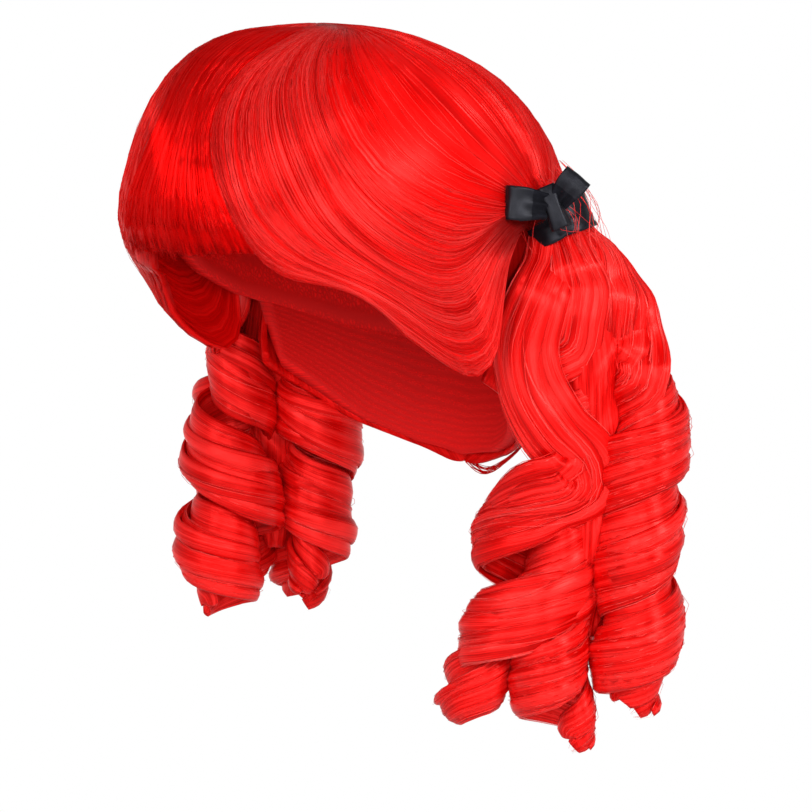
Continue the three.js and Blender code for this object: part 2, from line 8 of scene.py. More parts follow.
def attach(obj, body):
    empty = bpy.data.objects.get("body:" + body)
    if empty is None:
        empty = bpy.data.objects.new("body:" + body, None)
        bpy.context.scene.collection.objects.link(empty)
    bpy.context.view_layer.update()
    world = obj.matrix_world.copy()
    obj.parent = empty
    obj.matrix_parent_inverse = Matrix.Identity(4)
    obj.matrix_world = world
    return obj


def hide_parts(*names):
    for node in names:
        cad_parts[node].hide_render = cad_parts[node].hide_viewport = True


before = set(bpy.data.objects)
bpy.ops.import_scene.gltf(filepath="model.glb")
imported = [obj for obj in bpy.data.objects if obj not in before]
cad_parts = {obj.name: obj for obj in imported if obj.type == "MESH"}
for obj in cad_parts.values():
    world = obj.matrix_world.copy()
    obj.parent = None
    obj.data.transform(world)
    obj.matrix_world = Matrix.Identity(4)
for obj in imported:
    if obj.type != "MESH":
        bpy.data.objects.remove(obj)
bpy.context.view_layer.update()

MM = 0.001

# ------------------------------------------------------------------ sizes, in millimetres
# The cap, level by level from the top down: an oval outside the hair and an oval on its inside.
CAP_COLUMNS = ("z", "half_width", "mid_y", "half_depth", "in_z", "in_half_width", "in_mid_y", "in_half_depth")
CAP_LEVELS = np.array([
    (16.5, 0, -20, 0, 0, 0, -4, 0),
    (14, 30, -19.5, 33, -1.8, 22, -4, 27),
    (7.5, 50, -17.5, 55, -7, 42, -3, 52),
    (-4, 66, -11.7, 77, -18, 57, -2, 71),
    (-20, 79, -6.3, 94, -33, 67, -1, 84),
    (-43, 89.5, -2, 108, -52, 73.5, 0, 92),
    (-70, 95, -0.5, 115.5, -75, 76.5, 0, 96),
    (-98, 95.5, 0, 112, -100, 77, 1, 96),
    (-125, 93, 1, 105, -125, 75, 5, 91),
    (-152, 88, 3, 97, -150, 69, 12, 79),
    (-176, 80, 6, 87, -174, 62, 19, 62),
    (-191, 74, 8, 79, -189, 58, 22, 54),
], float)
CROWN_RIM = np.array([(0, 4.8), (25, 5.0), (45, 5.7), (60, 6.4), (75, 7.2), (90, 7.7), (105, 8.0), (125, 8.4), (150, 8.7), (180, 8.8)])
NAPE_EDGE = np.array([(99, 9.0), (115, 9.7), (132, 10.45), (155, 11.15), (180, 11.4)])
# level, half breadth, how deep the fringe lies (1 is the outside of the hair)
FRINGE = np.array([(0.25, 6, 0.93), (0.6, 12.5, 0.95), (1.0, 18, 0.97), (1.66, 23, 0.99), (2.55, 22, 1.0), (3.37, 19.8, 1.0), (4.08, 18.8, 1.0), (4.67, 21, 1.0), (5.2, 27, 1.0), (5.7, 34.5, 0.99), (6.1, 40, 0.94), (6.4, 43.5, 0.85), (6.66, 45, 0.72)])

# How the hair of the left half runs, guide by guide, from below the fringe corner over the top and down the back to the nape:
# angle round the cap and level of each point, then the place round the tie where it goes in.
GUIDES = [
    (-80, [(60, 0.2), (46, 0.6), (36, 1.15), (29.7, 1.72), (20.2, 2.55), (14.7, 3.37), (12.4, 4.08), (12.9, 4.67), (16.2, 5.2), (20.7, 5.7), (24.5, 6.1), (27.3, 6.45), (31.3, 6.72), (36.6, 6.9), (43.5, 6.98), (50, 7.09), (55.5, 7.27), (60.2, 7.54), (64.4, 7.86), (70.6, 8.17), (77.8, 8.48), (85.3, 8.67), (91, 8.52), (94, 8.15), (94.4, 7.64), (95, 7.12), (96.4, 6.69), (99.4, 6.36)]),
    (-66, [(68, 0.25), (54, 0.8), (44, 1.35), (36.5, 1.95), (27.6, 2.75), (23.3, 3.5), (22.1, 4.13), (23.4, 4.75), (26.1, 5.3), (29.7, 5.75), (34.5, 6.16), (40.5, 6.52), (47.9, 6.77), (55.6, 7.0), (63.2, 7.31), (71, 7.7), (78.4, 7.91), (84.4, 7.88), (88.1, 7.6), (90.2, 7.2), (92.5, 6.79), (96, 6.45)]),
    (-46, [(76, 0.25), (62, 0.75), (52, 1.3), (44.2, 1.85), (38.2, 2.57), (35.5, 3.29), (35.6, 3.94), (37.9, 4.59), (41.8, 5.25), (46.8, 5.85), (52.6, 6.31), (60.1, 6.7), (67.1, 6.96), (73.9, 7.13), (80.2, 7.09), (85, 6.85), (89.1, 6.54), (94.3, 6.25)]),
    (-20, [(83, 0.25), (70, 0.7), (59, 1.3), (51, 1.95), (46.6, 2.75), (45.5, 3.7), (47.8, 4.45), (52.1, 5.09), (58, 5.6), (65, 6.0), (71.8, 6.27), (78.7, 6.38), (85.8, 6.26), (93.5, 6.03)]),
    (10, [(91, 0.25), (78, 0.75), (66, 1.5), (59, 2.3), (56.7, 3.2), (58.4, 4.1), (63.6, 4.84), (70.5, 5.3), (78.7, 5.6), (86.6, 5.75), (94.7, 5.85), (101, 5.87)]),
    (42, [(102, 0.3), (100, 0.8), (99, 1.5), (100, 2.4), (102, 3.6), (105, 4.7), (108, 5.45)]),
    (72, [(135, 0.3), (129, 0.9), (125, 1.7), (122, 2.7), (118, 3.8), (115.5, 4.8), (113.5, 5.45)]),
    (104, [(165, 0.4), (158, 1.1), (150, 2.0), (143, 3.0), (134, 4.0), (126, 4.9), (119, 5.5)]),
    (130, [(180, 0.9), (174, 2.0), (165, 3.0), (153, 4.1), (141, 5.0), (129, 5.6), (120, 5.85)]),
    (150, [(180, 2.6), (176, 3.6), (166, 4.6), (153, 5.4), (139, 5.9), (128, 6.1), (121, 6.15)]),
    (170, [(180, 4.6), (174, 5.3), (162, 5.9), (149, 6.3), (136, 6.4), (125, 6.35)]),
    (188, [(180, 6.4), (172, 6.7), (160, 6.9), (147, 6.95), (135, 6.8), (125, 6.6)]),
    (203, [(180, 8.0), (171, 7.9), (158, 7.75), (145, 7.45), (133, 7.1), (124, 6.8)]),
    (214, [(180, 9.8), (170, 9.4), (156, 8.7), (142, 8.0), (130, 7.4), (122, 7.0)]),
    (226, [(180, 11.4), (168, 10.8), (153, 9.8), (139, 8.7), (127, 7.7), (120, 7.1)]),
    (240, [(155, 11.15), (146, 10.4), (136, 9.4), (127, 8.3), (120, 7.5), (116, 7.1)]),
    (252, [(132, 10.45), (127, 9.8), (122, 8.9), (117, 8.0), (113.5, 7.3)]),
    (262, [(113, 9.6), (112, 9.0), (111, 8.3), (110, 7.6), (110, 7.1)]),
    (272, [(94, 8.9), (97, 8.5), (102, 7.9), (106, 7.4), (108, 7.1)]),
]
SWEEP_GUIDES, CROWN_GUIDES, NAPE_GUIDES = (0.0, 3.35), (3.05, 12.9), (12.6, 18.0)

TIE = np.array((92, 46.5, -75.0))
unit = lambda v: np.asarray(v, float) / np.linalg.norm(v)
TIE_WAY = unit((0.36, 0.19, -0.91))
FORWARD_OUT, BACK_OUT = unit((1, -1, 0)), unit((1, 1, 0))
BOW_FACE = unit(FORWARD_OUT - TIE_WAY * (FORWARD_OUT @ TIE_WAY))
BOW_SIDE = unit(-np.cross(TIE_WAY, BOW_FACE))
BOW_UP = -TIE_WAY
BUNDLE_RADIUS, BAND_WIDTH = 14.5, 16.0
KNOT = {"across": 10.0, "along": 20.5, "deep": 6.5, "up": 6.5}
KNOT_AT = TIE - TIE_WAY * KNOT["up"] + BOW_FACE * (BUNDLE_RADIUS + 0.8 + 1.4 + 1.4 + KNOT["deep"] / 2)
BOW_LOOPS = {
    "front": {"out": -1, "rise": 0.53, "lift": 0.4, "length": 18.0, "deep": 10, "width": 15.5},
    "back": {"out": 0.88, "rise": 0.46, "lift": 0.12, "length": 13.8, "deep": 8, "width": 13.5},
}
CLOTH = 0.55

HANG = (101, 51)
# the lock in front of the left ponytail: height, offset to the side and to the front of the hanging line
SWUNG = [
    (-105, -19, 17), (-130, -26, 16), (-150, -23, 18), (-169, -12, 21), (-186, 2, 17), (-197, 2, 18), (-207, -20, 22), (-216, -40, 12), (-223, -45, -1),
    (-233, -27, -14), (-243, -3, -13), (-248, 5, 0), (-254, -17, 19), (-261, -45, 15), (-266, -52, 3), (-275, -44, -11), (-283, -34, -5), (-290, -39, 9),
    (-297, -54, 9), (-303, -58, -1), (-298, -47, -9), (-288, -38, -6),
]
# hand, coil heights, then rows of height, out, back, reach
RINGLETS = {
    "left": [
        (-1, (-142, -182, -230, -270, -302), [(-112, 15, 10.5, 4), (-145, 24, 18, 9), (-182, 23.5, 17.5, 17), (-230, 23, 17, 17), (-270, 22, 16, 18), (-306, 22, 17, 12)]),
        SWUNG,
        (-1, (-128, -166, -205, -245, -282, -320), [(-106, 4, -8, 5), (-128, 0, -8.5, 12), (-166, 0, -6, 13), (-205, -6, 3, 13), (-245, -6, -6, 13), (-282, -8, -11, 17), (-324, 1, 1, 12)]),
        (-1, (-120, -168, -214, -258, -296), [(-108, -8, 18, 5), (-140, -10, 25, 12), (-168, -10, 29, 17), (-214, -8, 31, 18), (-258, -5, 36, 18), (-300, -4, 37, 12)]),
    ],
    "right": [
        (1, (-128, -175, -220, -260, -292), [(-108, 9, 17, 4), (-142, 12, 25, 11), (-175, 13, 27, 18), (-225, 14, 28, 18), (-288, 14, 28, 12)]),
        (1, (-140, -186, -231, -270), [(-108, 17, -3, 5), (-140, 25, -4, 15), (-186, 27, -4, 18), (-231, 27, -4, 18), (-276, 26, -4, 11)]),
        (-1, (-150, -198, -243, -280), [(-108, 2, -17, 3), (-150, 2, -25, 11), (-198, 4, -29, 21), (-243, 6, -31, 21), (-284, 8, -33, 12)]),
        (-1, (-126, -172, -218, -258), [(-108, -10, 4, 4), (-140, -16, 7, 12), (-172, -18, 8, 17), (-218, -18, 8, 17), (-272, -18, 8, 11)]),
    ],
}
LOCK = {"root_breadth": 22, "top_breadth": 36, "breadth": 31, "end_breadth": 22, "root_depth": 11, "top_depth": 12, "depth": 8, "end_depth": 7}

# ------------------------------------------------------------------ small mathematics
_LATTICE = np.random.default_rng(7).random((256, 256)) * 2 - 1


def noise(x, y=0.0, seed=0):
    """Smooth noise from -1 to 1 at points of a plane."""
    x, y = np.broadcast_arrays(np.asarray(x, float) + 17.31 * seed, np.asarray(y, float) + 5.77 * seed)
    xi, yi = np.floor(x).astype(int), np.floor(y).astype(int)
    fx, fy = x - xi, y - yi
    fx, fy = fx * fx * (3 - 2 * fx), fy * fy * (3 - 2 * fy)
    at = lambda i, j: _LATTICE[i & 255, j & 255]
    low = at(xi, yi) * (1 - fx) + at(xi + 1, yi) * fx
    high = at(xi, yi + 1) * (1 - fx) + at(xi + 1, yi + 1) * fx
    return low * (1 - fy) + high * fy


def smooth(a, b, x):
    t = np.clip((np.asarray(x, float) - a) / (b - a), 0, 1)
    return t * t * (3 - 2 * t)


def normalised(v):
    return v / np.maximum(np.linalg.norm(v, axis=-1, keepdims=True), 1e-9)


_TOP = len(CAP_LEVELS) - 1
_TURNED = np.array([1, -1, 1, -1, 1, -1, 1, -1.0])
_PADDED = np.vstack([CAP_LEVELS[1] * _TURNED, CAP_LEVELS, 2 * CAP_LEVELS[_TOP] - CAP_LEVELS[_TOP - 1]])


def cap_columns(level):
    level = np.asarray(level, float)
    i = np.clip(np.floor(level).astype(int), 0, _TOP - 1)
    t = (level - i)[..., None]
    a, b, c, d = (_PADDED[i + k] for k in range(4))
    return b + 0.5 * t * (c - a + t * (2 * a - 5 * b + 4 * c - d + t * (3 * (b - c) + d - a)))


def cap_point(angle, level, depth):
    """Points in the hair of the cap: angle round the cap, level down it, depth 0 inside to 1 outside."""
    angle, level, depth = np.broadcast_arrays(*(np.asarray(v, float) for v in (angle, level, depth)))
    s, c = np.sin(np.radians(angle)), np.cos(np.radians(angle))
    k = cap_columns(level)
    outside = np.stack([k[..., 1] * s, k[..., 2] - k[..., 3] * c, k[..., 0]], -1)
    inside = np.stack([k[..., 5] * s, k[..., 6] - k[..., 7] * c, k[..., 4]], -1)
    return inside + (outside - inside) * depth[..., None]


def spline(points, n):
    """n points on a smooth curve through rows of numbers."""
    p = np.asarray(points, float)
    p = np.vstack([2 * p[0] - p[1], p, 2 * p[-1] - p[-2]])
    at = np.linspace(0, len(p) - 3, n)
    i = np.minimum(at.astype(int), len(p) - 4)
    t = (at - i)[:, None]
    a, b, c, d = p[i], p[i + 1], p[i + 2], p[i + 3]
    return b + 0.5 * t * (c - a + t * (2 * a - 5 * b + 4 * c - d + t * (3 * (b - c) + d - a)))


def evenly(points, n, measure=None):
    """The same curve with n points, evenly spaced along measure (or along itself)."""
    m = points if measure is None else measure
    run = np.concatenate([[0], np.cumsum(np.linalg.norm(np.diff(m, axis=0), axis=1))])
    want = np.linspace(0, run[-1], n)
    return np.stack([np.interp(want, run, points[:, k]) for k in range(points.shape[1])], 1)


# ------------------------------------------------------------------ flow of the hair on the cap
FINE = 72
_GUIDE = []
for _, _points in GUIDES:
    _dense = spline(_points, 400)
    _GUIDE.append(evenly(_dense, FINE, cap_point(_dense[:, 0], _dense[:, 1], 1.0)))
_GUIDE = np.array(_GUIDE)
_ROUND = np.array([g[0] for g in GUIDES], float)


def chart(kappa, s):
    """Angle and level at share s of the way along the hair between guides."""
    kappa, s = np.broadcast_arrays(np.asarray(kappa, float), np.asarray(s, float))
    last = len(_GUIDE) - 1
    kappa = np.clip(kappa, 0, last)
    i = np.minimum(np.floor(kappa).astype(int), last - 1)
    t = (kappa - i)[..., None]
    f = np.clip(s, 0, 1) * (FINE - 1)
    j = np.minimum(f.astype(int), FINE - 2)
    w = (f - j)[..., None]
    row = lambda k: _GUIDE[np.clip(k, 0, last), j] * (1 - w) + _GUIDE[np.clip(k, 0, last), j + 1] * w
    a, b, c, d = row(i - 1), row(i), row(i + 1), row(i + 2)
    return b + 0.5 * t * (c - a + t * (2 * a - 5 * b + 4 * c - d + t * (3 * (b - c) + d - a)))


TURN_IN = 5  # points between the cap and the tie


def swept(kappa, s, depth, radius=13.2):
    """Hair from its root over the cap into the tie. kappa, s and depth are strands by points."""
    kappa, s, depth = np.broadcast_arrays(kappa, s, depth)
    al = chart(kappa, s)
    p = cap_point(al[..., 0], al[..., 1], depth)
    beta = np.radians(np.interp(kappa[:, -1], np.arange(len(_ROUND)), _ROUND))
    radius = np.broadcast_to(np.asarray(radius, float), beta.shape)
    to = TIE + TIE_WAY * 2.5 + (np.cos(beta)[:, None] * BOW_FACE + np.sin(beta)[:, None] * BOW_SIDE) * radius[:, None]
    start, way = p[:, -1], normalised(p[:, -1] - p[:, -2])
    long = np.linalg.norm(to - start, axis=1)[:, None]
    steps = []
    for t in np.linspace(0, 1, TURN_IN + 1)[1:]:
        h00, h10, h01, h11 = 2 * t**3 - 3 * t**2 + 1, t**3 - 2 * t**2 + t, -2 * t**3 + 3 * t**2, t**3 - t**2
        steps.append(h00 * start + h10 * way * long * 0.9 + h01 * to + h11 * TIE_WAY * long * 1.1)
    return np.concatenate([p, np.stack(steps, 1)], 1)


def tuck(kappa, s):
    """The lower edge of the swept hair turns inward."""
    low = np.clip(1 - kappa / 0.5, 0, 1) ** 2
    return -0.26 * low * smooth(0.38, 0.46, s) * (1 - 0.6 * smooth(0.58, 0.74, s)) - 0.035 * np.clip(1 - kappa / 0.25, 0, 1) * smooth(0.44, 0.34, s)


def tuck_far(kappa, s):
    """On the right side the front of the edge lies closer to the face."""
    return tuck(kappa, s) - 0.42 * np.clip(1 - kappa / 1.3, 0, 1) * smooth(0.32, 0.42, s) * (1 - smooth(0.54, 0.72, s))


# ------------------------------------------------------------------ meshes
class Piece:
    def __init__(self, name):
        self.name, self.verts, self.quads, self.tris, self.uv, self.quad_mat, self.tri_mat, self.n = name, [], [], [], [], [], [], 0
        self.fine = 0  # material of the strands

    def add(self, verts, quads, tris, uv, material=0, outward=True):
        verts = np.asarray(verts, float).reshape(-1, 3)
        quads, tris = np.asarray(quads, int).reshape(-1, 4), np.asarray(tris, int).reshape(-1, 3)
        if outward:
            every = np.vstack([quads[:, [0, 1, 2]], quads[:, [0, 2, 3]], tris])
            a, b, c = (verts[every[:, k]] for k in range(3))
            if (a * np.cross(b, c)).sum() < 0:
                quads, tris = quads[:, ::-1], tris[:, ::-1]
        self.verts.append(verts)
        self.uv.append(np.asarray(uv, float).reshape(-1, 2))
        self.quads.append(quads + self.n)
        self.tris.append(tris + self.n)
        self.quad_mat.append(np.full(len(quads), material))
        self.tri_mat.append(np.full(len(tris), material))
        self.n += len(verts)

    def join(self, part, side=1):
        """Take in another piece's meshes, mirrored for the right side."""
        verts, quads, tris = np.vstack(part.verts), np.vstack(part.quads), np.vstack(part.tris)
        if side < 0:
            verts, quads, tris = verts * (-1, 1, 1), quads[:, ::-1], tris[:, ::-1]
        self.add(verts, quads, tris, np.vstack(part.uv), outward=False)
        self.quad_mat[-1], self.tri_mat[-1] = np.concatenate(part.quad_mat), np.concatenate(part.tri_mat)

    def make(self, materials, side=1):
        verts = np.vstack(self.verts) * MM
        quads, tris = np.vstack(self.quads), np.vstack(self.tris)
        if side < 0:
            verts = verts * (-1, 1, 1)
            quads, tris = quads[:, ::-1], tris[:, ::-1]
        uv = np.vstack(self.uv)
        loops = np.concatenate([quads.ravel(), tris.ravel()])
        starts = np.concatenate([np.arange(len(quads)) * 4, len(quads) * 4 + np.arange(len(tris)) * 3])
        mesh = bpy.data.meshes.new(self.name)
        mesh.vertices.add(len(verts))
        mesh.vertices.foreach_set("co", verts.astype(np.float32).ravel())
        mesh.loops.add(len(loops))
        mesh.loops.foreach_set("vertex_index", loops.astype(np.int32))
        mesh.polygons.add(len(starts))
        mesh.polygons.foreach_set("loop_start", starts.astype(np.int32))
        mesh.polygons.foreach_set("use_smooth", np.ones(len(starts), bool))
        for m in materials:
            mesh.materials.append(m)
        mesh.polygons.foreach_set("material_index", np.concatenate(self.quad_mat + self.tri_mat).astype(np.int32))
        layer = mesh.uv_layers.new(name="OFBake")
        layer.data.foreach_set("uv", np.clip(uv, 0, 1)[loops].astype(np.float32).ravel())
        mesh.update(calc_edges=True)
        obj = bpy.data.objects.new(self.name, mesh)
        bpy.context.scene.collection.objects.link(obj)
        return obj


def tubes(paths, radius, ref, sides=3):
    """Strands with a round section, closed at both ends."""
    paths = np.asarray(paths, float)
    S, N = paths.shape[:2]
    radius = np.broadcast_to(radius, (S, N))
    t = normalised(np.gradient(paths, axis=1))
    ref = np.broadcast_to(np.asarray(ref, float), paths.shape)
    n = normalised(ref - t * (ref * t).sum(-1, keepdims=True))
    b = np.cross(t, n)
    turn = np.arange(sides) * 2 * math.pi / sides
    ring = paths[:, :, None] + radius[:, :, None, None] * (np.cos(turn)[:, None] * n[:, :, None] + np.sin(turn)[:, None] * b[:, :, None])
    base = (np.arange(S) * N * sides)[:, None, None]
    i, k = np.arange(N - 1)[:, None] * sides, np.arange(sides)[None]
    kk = (k + 1) % sides
    quads = np.stack([i + k, i + kk, i + kk + sides, i + k + sides], -1)
    quads = (base[..., None] + quads[None]).reshape(-1, 4)
    start = np.arange(S)[:, None] * N * sides
    tris = np.vstack([start + np.array([2, 1, 0]), start + (N - 1) * sides + np.array([0, 1, 2])])
    return ring.reshape(-1, 3), quads, tris


def add_strands(piece, paths, radius, ref, u, v=None):
    S, N = paths.shape[:2]
    verts, quads, tris = tubes(paths, radius, ref)
    v = np.linspace(0.01, 0.99, N)[None] if v is None else v
    uv = np.stack([np.broadcast_to(np.asarray(u)[:, None], (S, N)), np.broadcast_to(v, (S, N))], -1)
    uv = uv[:, :, None] + np.array([(0.0, 0.0), (0.002, 0.0), (0.004, 0.0)])
    piece.add(verts, quads, tris, uv.reshape(-1, 2), piece.fine, outward=False)


def slab(over, under, u=None, v=None):
    """A closed sheet between two grids of points (columns by rows)."""
    C, R = over.shape[:2]
    verts = np.concatenate([over.reshape(-1, 3), under.reshape(-1, 3)])
    idx = lambda c, r, side=0: side * C * R + c * R + r
    c, r = np.meshgrid(np.arange(C - 1), np.arange(R - 1), indexing="ij")
    c, r = c.ravel(), r.ravel()
    top = np.stack([idx(c, r), idx(c + 1, r), idx(c + 1, r + 1), idx(c, r + 1)], 1)
    bottom = np.stack([idx(c, r, 1), idx(c, r + 1, 1), idx(c + 1, r + 1, 1), idx(c + 1, r, 1)], 1)
    c, r = np.arange(C - 1), np.arange(R - 1)
    walls = [
        np.stack([idx(c, 0, 1), idx(c + 1, 0, 1), idx(c + 1, 0), idx(c, 0)], 1),
        np.stack([idx(c, R - 1), idx(c + 1, R - 1), idx(c + 1, R - 1, 1), idx(c, R - 1, 1)], 1),
        np.stack([idx(0, r), idx(0, r + 1), idx(0, r + 1, 1), idx(0, r, 1)], 1),
        np.stack([idx(C - 1, r, 1), idx(C - 1, r + 1, 1), idx(C - 1, r + 1), idx(C - 1, r)], 1),
    ]
    u = np.linspace(0, 1, C) if u is None else u
    v = np.linspace(0, 1, R) if v is None else v
    uv = np.stack(np.broadcast_arrays(u[:, None], v[None]), -1).reshape(-1, 2)
    return verts, np.vstack([top, bottom, *walls]), np.zeros((0, 3), int), np.vstack([uv, uv])


def pipe(rows, closed=False):
    """A skin round rows of section points, with both ends closed by fans (or joined to each other)."""
    R, C = rows.shape[:2]
    verts = rows.reshape(-1, 3)
    r, c = np.meshgrid(np.arange(R if closed else R - 1), np.arange(C), indexing="ij")
    r, c = r.ravel(), c.ravel()
    rr, cc = (r + 1) % R, (c + 1) % C
    quads = np.stack([r * C + c, r * C + cc, rr * C + cc, rr * C + c], 1)
    tris = np.zeros((0, 3), int)
    if not closed:
        verts = np.vstack([verts, rows[0].mean(0), rows[-1].mean(0)])
        k = np.arange(C)
        kk = (k + 1) % C
        tris = np.vstack([np.stack([kk, k, np.full(C, R * C)], 1), np.stack([(R - 1) * C + k, (R - 1) * C + kk, np.full(C, R * C + 1)], 1)])
    return verts, quads, tris


# ------------------------------------------------------------------ materials
def node(tree, kind, inputs=(), **settings):
    n = tree.nodes.new(kind)
    for key, value in settings.items():
        setattr(n, key, value)
    for key, value in dict(inputs).items():
        if isinstance(value, bpy.types.NodeSocket):
            tree.links.new(value, n.inputs[key])
        else:
            n.inputs[key].default_value = value
    return n


def ramp(tree, factor, stops):
    n = tree.nodes.new("ShaderNodeValToRGB")
    tree.links.new(factor, n.inputs["Fac"])
    el = n.color_ramp.elements
    while len(el) < len(stops):
        el.new(0.5)
    for e, (at, colour) in zip(el, stops):
        e.position, e.color = at, (*colour, 1)
    return n.outputs["Color"]


def streaks(tree, uv, across, along, detail=2.0):
    """Noise drawn out along the hair."""
    m = node(tree, "ShaderNodeMapping", {"Vector": uv, "Scale": (across, along, 1)})
    return node(tree, "ShaderNodeTexNoise", {"Vector": m.outputs["Vector"], "Scale": 1.0, "Detail": detail, "Roughness": 0.6}, noise_dimensions="2D").outputs["Fac"]


def new_material(name):
    m = bpy.data.materials.new(name)
    m.use_nodes = True
    m.node_tree.nodes.clear()
    return m, m.node_tree


def hair_material(name, across, along, shades, bump=0.3, rough=0.33, specular=0.13, gloss=0.25, tint=(1.0, 0.36, 0.33, 1), contrast=1.0, shade=None, edge=None, free=None):
    """Hair along v of the UV map, with a shine that spreads across the strands; shade is painted light and shade along
    the hair, edge is painted shade across it as far as free lets it.
    """
    m, tree = new_material(name)
    uv = node(tree, "ShaderNodeUVMap", uv_map="OFBake").outputs["UV"]
    fine, broad = streaks(tree, uv, across, along, 3.0), streaks(tree, uv, across * 0.16, along * 0.7, 1.0)
    both = node(tree, "ShaderNodeMath", {0: fine, 1: broad}, operation="ADD").outputs[0]
    half = node(tree, "ShaderNodeMath", {0: both, 1: 0.5}, operation="MULTIPLY").outputs[0]
    colour = ramp(tree, half, [(0.47 - 0.17 / contrast, shades[0]), (0.47, shades[1]), (0.47 + 0.19 / contrast, shades[2])])
    # painted light and shade along the hair
    if shade:
        along_hair = node(tree, "ShaderNodeSeparateXYZ", {"Vector": uv}).outputs["Y"]
        tone = ramp(tree, along_hair, [(at, (k, k, k)) for at, k in shade])
        colour = node(tree, "ShaderNodeVectorMath", {0: colour, 1: tone}, operation="MULTIPLY").outputs["Vector"]
    # painted shade across the hair, limited along it by free
    if edge:
        over_hair = node(tree, "ShaderNodeSeparateXYZ", {"Vector": uv}).outputs["X"]
        tone = ramp(tree, over_hair, [(at, (k, k, k)) for at, k in edge])
        past = ramp(tree, node(tree, "ShaderNodeSeparateXYZ", {"Vector": uv}).outputs["Y"], [(at, (k, k, k)) for at, k in free])
        tone = node(tree, "ShaderNodeVectorMath", {0: tone, 1: past}, operation="MAXIMUM").outputs["Vector"]
        colour = node(tree, "ShaderNodeVectorMath", {0: colour, 1: tone}, operation="MULTIPLY").outputs["Vector"]
    bumped = node(tree, "ShaderNodeBump", {"Strength": bump, "Distance": 0.0004, "Height": fine})
    across_hair = node(tree, "ShaderNodeTangent", direction_type="UV_MAP", uv_map="OFBake").outputs["Tangent"]
    body = node(tree, "ShaderNodeBsdfPrincipled", {
        "Base Color": colour, "Roughness": rough, "Metallic": gloss, "Specular IOR Level": specular, "Specular Tint": tint,
        "Anisotropic": 0.8, "Tangent": across_hair, "Normal": bumped.outputs["Normal"], "Sheen Weight": 0.0,
        "Subsurface Weight": 0.3, "Subsurface Radius": (1.0, 0.08, 0.07), "Subsurface Scale": 0.0025,
    })
    node(tree, "ShaderNodeOutputMaterial", {"Surface": body.outputs["BSDF"]})
    return m


RED = ((0.42, 0.0006, 0.0005), (0.70, 0.0016, 0.0014), (0.94, 0.0085, 0.0078))
SWEPT = ((0.52, 0.0008, 0.0007), (0.71, 0.0018, 0.0016), (0.90, 0.0080, 0.0073))
PALE = ((0.58, 0.0022, 0.0020), (0.84, 0.010, 0.009), (0.96, 0.048, 0.044))
CURL = ((0.46, 0.0007, 0.0006), (0.69, 0.0016, 0.0014), (0.94, 0.021, 0.019))
DEEP = ((0.60, 0.0006, 0.0005), (0.86, 0.0013, 0.0011), (1.0, 0.0040, 0.0036))
LIGHT = ((0.66, 0.0030, 0.0027), (0.92, 0.020, 0.018), (1.0, 0.095, 0.088))
MILD = ((0.66, 0.0014, 0.0012), (0.90, 0.0036, 0.0032), (1.0, 0.014, 0.013))
# painted light along the fringe: a painted gloss band near 0.7 of its length and painted shade towards the tucked-under
# ends
FRINGE_PAINTED_GLOSS_AND_SHADE = [(0.0, 1.0), (0.30, 0.92), (0.52, 0.84), (0.68, 0.94), (0.79, 0.94), (0.90, 0.73), (1.0, 0.64)]
# painted shadow of the bow on the crown hair next to the sweep, only in the last part of the hair before the tie
PAINTED_BOW_SHADOW, BOW_SHADOW_LIMIT = [(0.0, 0.40), (0.07, 0.48), (0.13, 0.75), (0.18, 1.0)], [(0.0, 1.0), (0.68, 1.0), (0.76, 0.6), (0.82, 0.0), (1.0, 0.0)]
HAIR_CAP, FINE_CAP = hair_material("hair_swept", 210, 5, SWEPT, gloss=0.3, edge=PAINTED_BOW_SHADOW, free=BOW_SHADOW_LIMIT), hair_material("hair_swept_fine", 210, 5, PALE, bump=0.05, gloss=0.3, edge=PAINTED_BOW_SHADOW, free=BOW_SHADOW_LIMIT)
# painted shade along the sweep's lower edge beside the fringe, fading out further along the hair
PAINTED_EDGE_SHADE, EDGE_SHADE_LIMIT = [(0.0, 0.70), (0.07, 0.78), (0.2, 0.91), (0.36, 1.0)], [(0.0, 0.0), (0.22, 0.0), (0.36, 0.95), (0.5, 1.0)]
# painted shadow: the swept hair darkens towards the tie, where the bow shades it
PAINTED_TIE_SHADOW = [(0.0, 1.0), (0.72, 1.0), (0.78, 0.72), (0.84, 0.42), (1.0, 0.15)]
HAIR_SWEEP, FINE_SWEEP = hair_material("hair_sweep", 210, 5, SWEPT, specular=0.15, gloss=0.3, shade=PAINTED_TIE_SHADOW, edge=PAINTED_EDGE_SHADE, free=EDGE_SHADE_LIMIT), hair_material("hair_sweep_fine", 210, 5, PALE, bump=0.05, specular=0.15, gloss=0.3, shade=PAINTED_TIE_SHADOW, edge=PAINTED_EDGE_SHADE, free=EDGE_SHADE_LIMIT)
HAIR_FRINGE, FINE_FRINGE = hair_material("hair_fringe", 210, 5, DEEP, specular=0.06, tint=(1.0, 0.08, 0.07, 1), gloss=0.45, rough=0.30, shade=FRINGE_PAINTED_GLOSS_AND_SHADE), hair_material("hair_fringe_fine", 210, 5, MILD, bump=0.05, specular=0.06, tint=(1.0, 0.08, 0.07, 1), gloss=0.45, rough=0.30, shade=FRINGE_PAINTED_GLOSS_AND_SHADE)
HAIR_CURL, FINE_CURL = hair_material("hair_ringlet", 150, 8, CURL, bump=0.5, specular=0.3, contrast=1.4), hair_material("hair_ringlet_fine", 56, 9, LIGHT, bump=0.05, specular=0.3)
# painted shade: the nape hair is the hair's red darkened to 0.8
HAIR_NAPE_SHADED = hair_material("hair_nape_shaded", 120, 5, tuple(tuple(c * 0.8 for c in s) for s in RED))
# painted shade: the cap under the hair gets the hair's red darkened to 0.22
HAIR_UNDER_PAINTED_SHADE = hair_material("hair_under_painted_shade", 150, 5, tuple(tuple(c * 0.22 for c in s) for s in RED), gloss=0.1, specular=0.05)


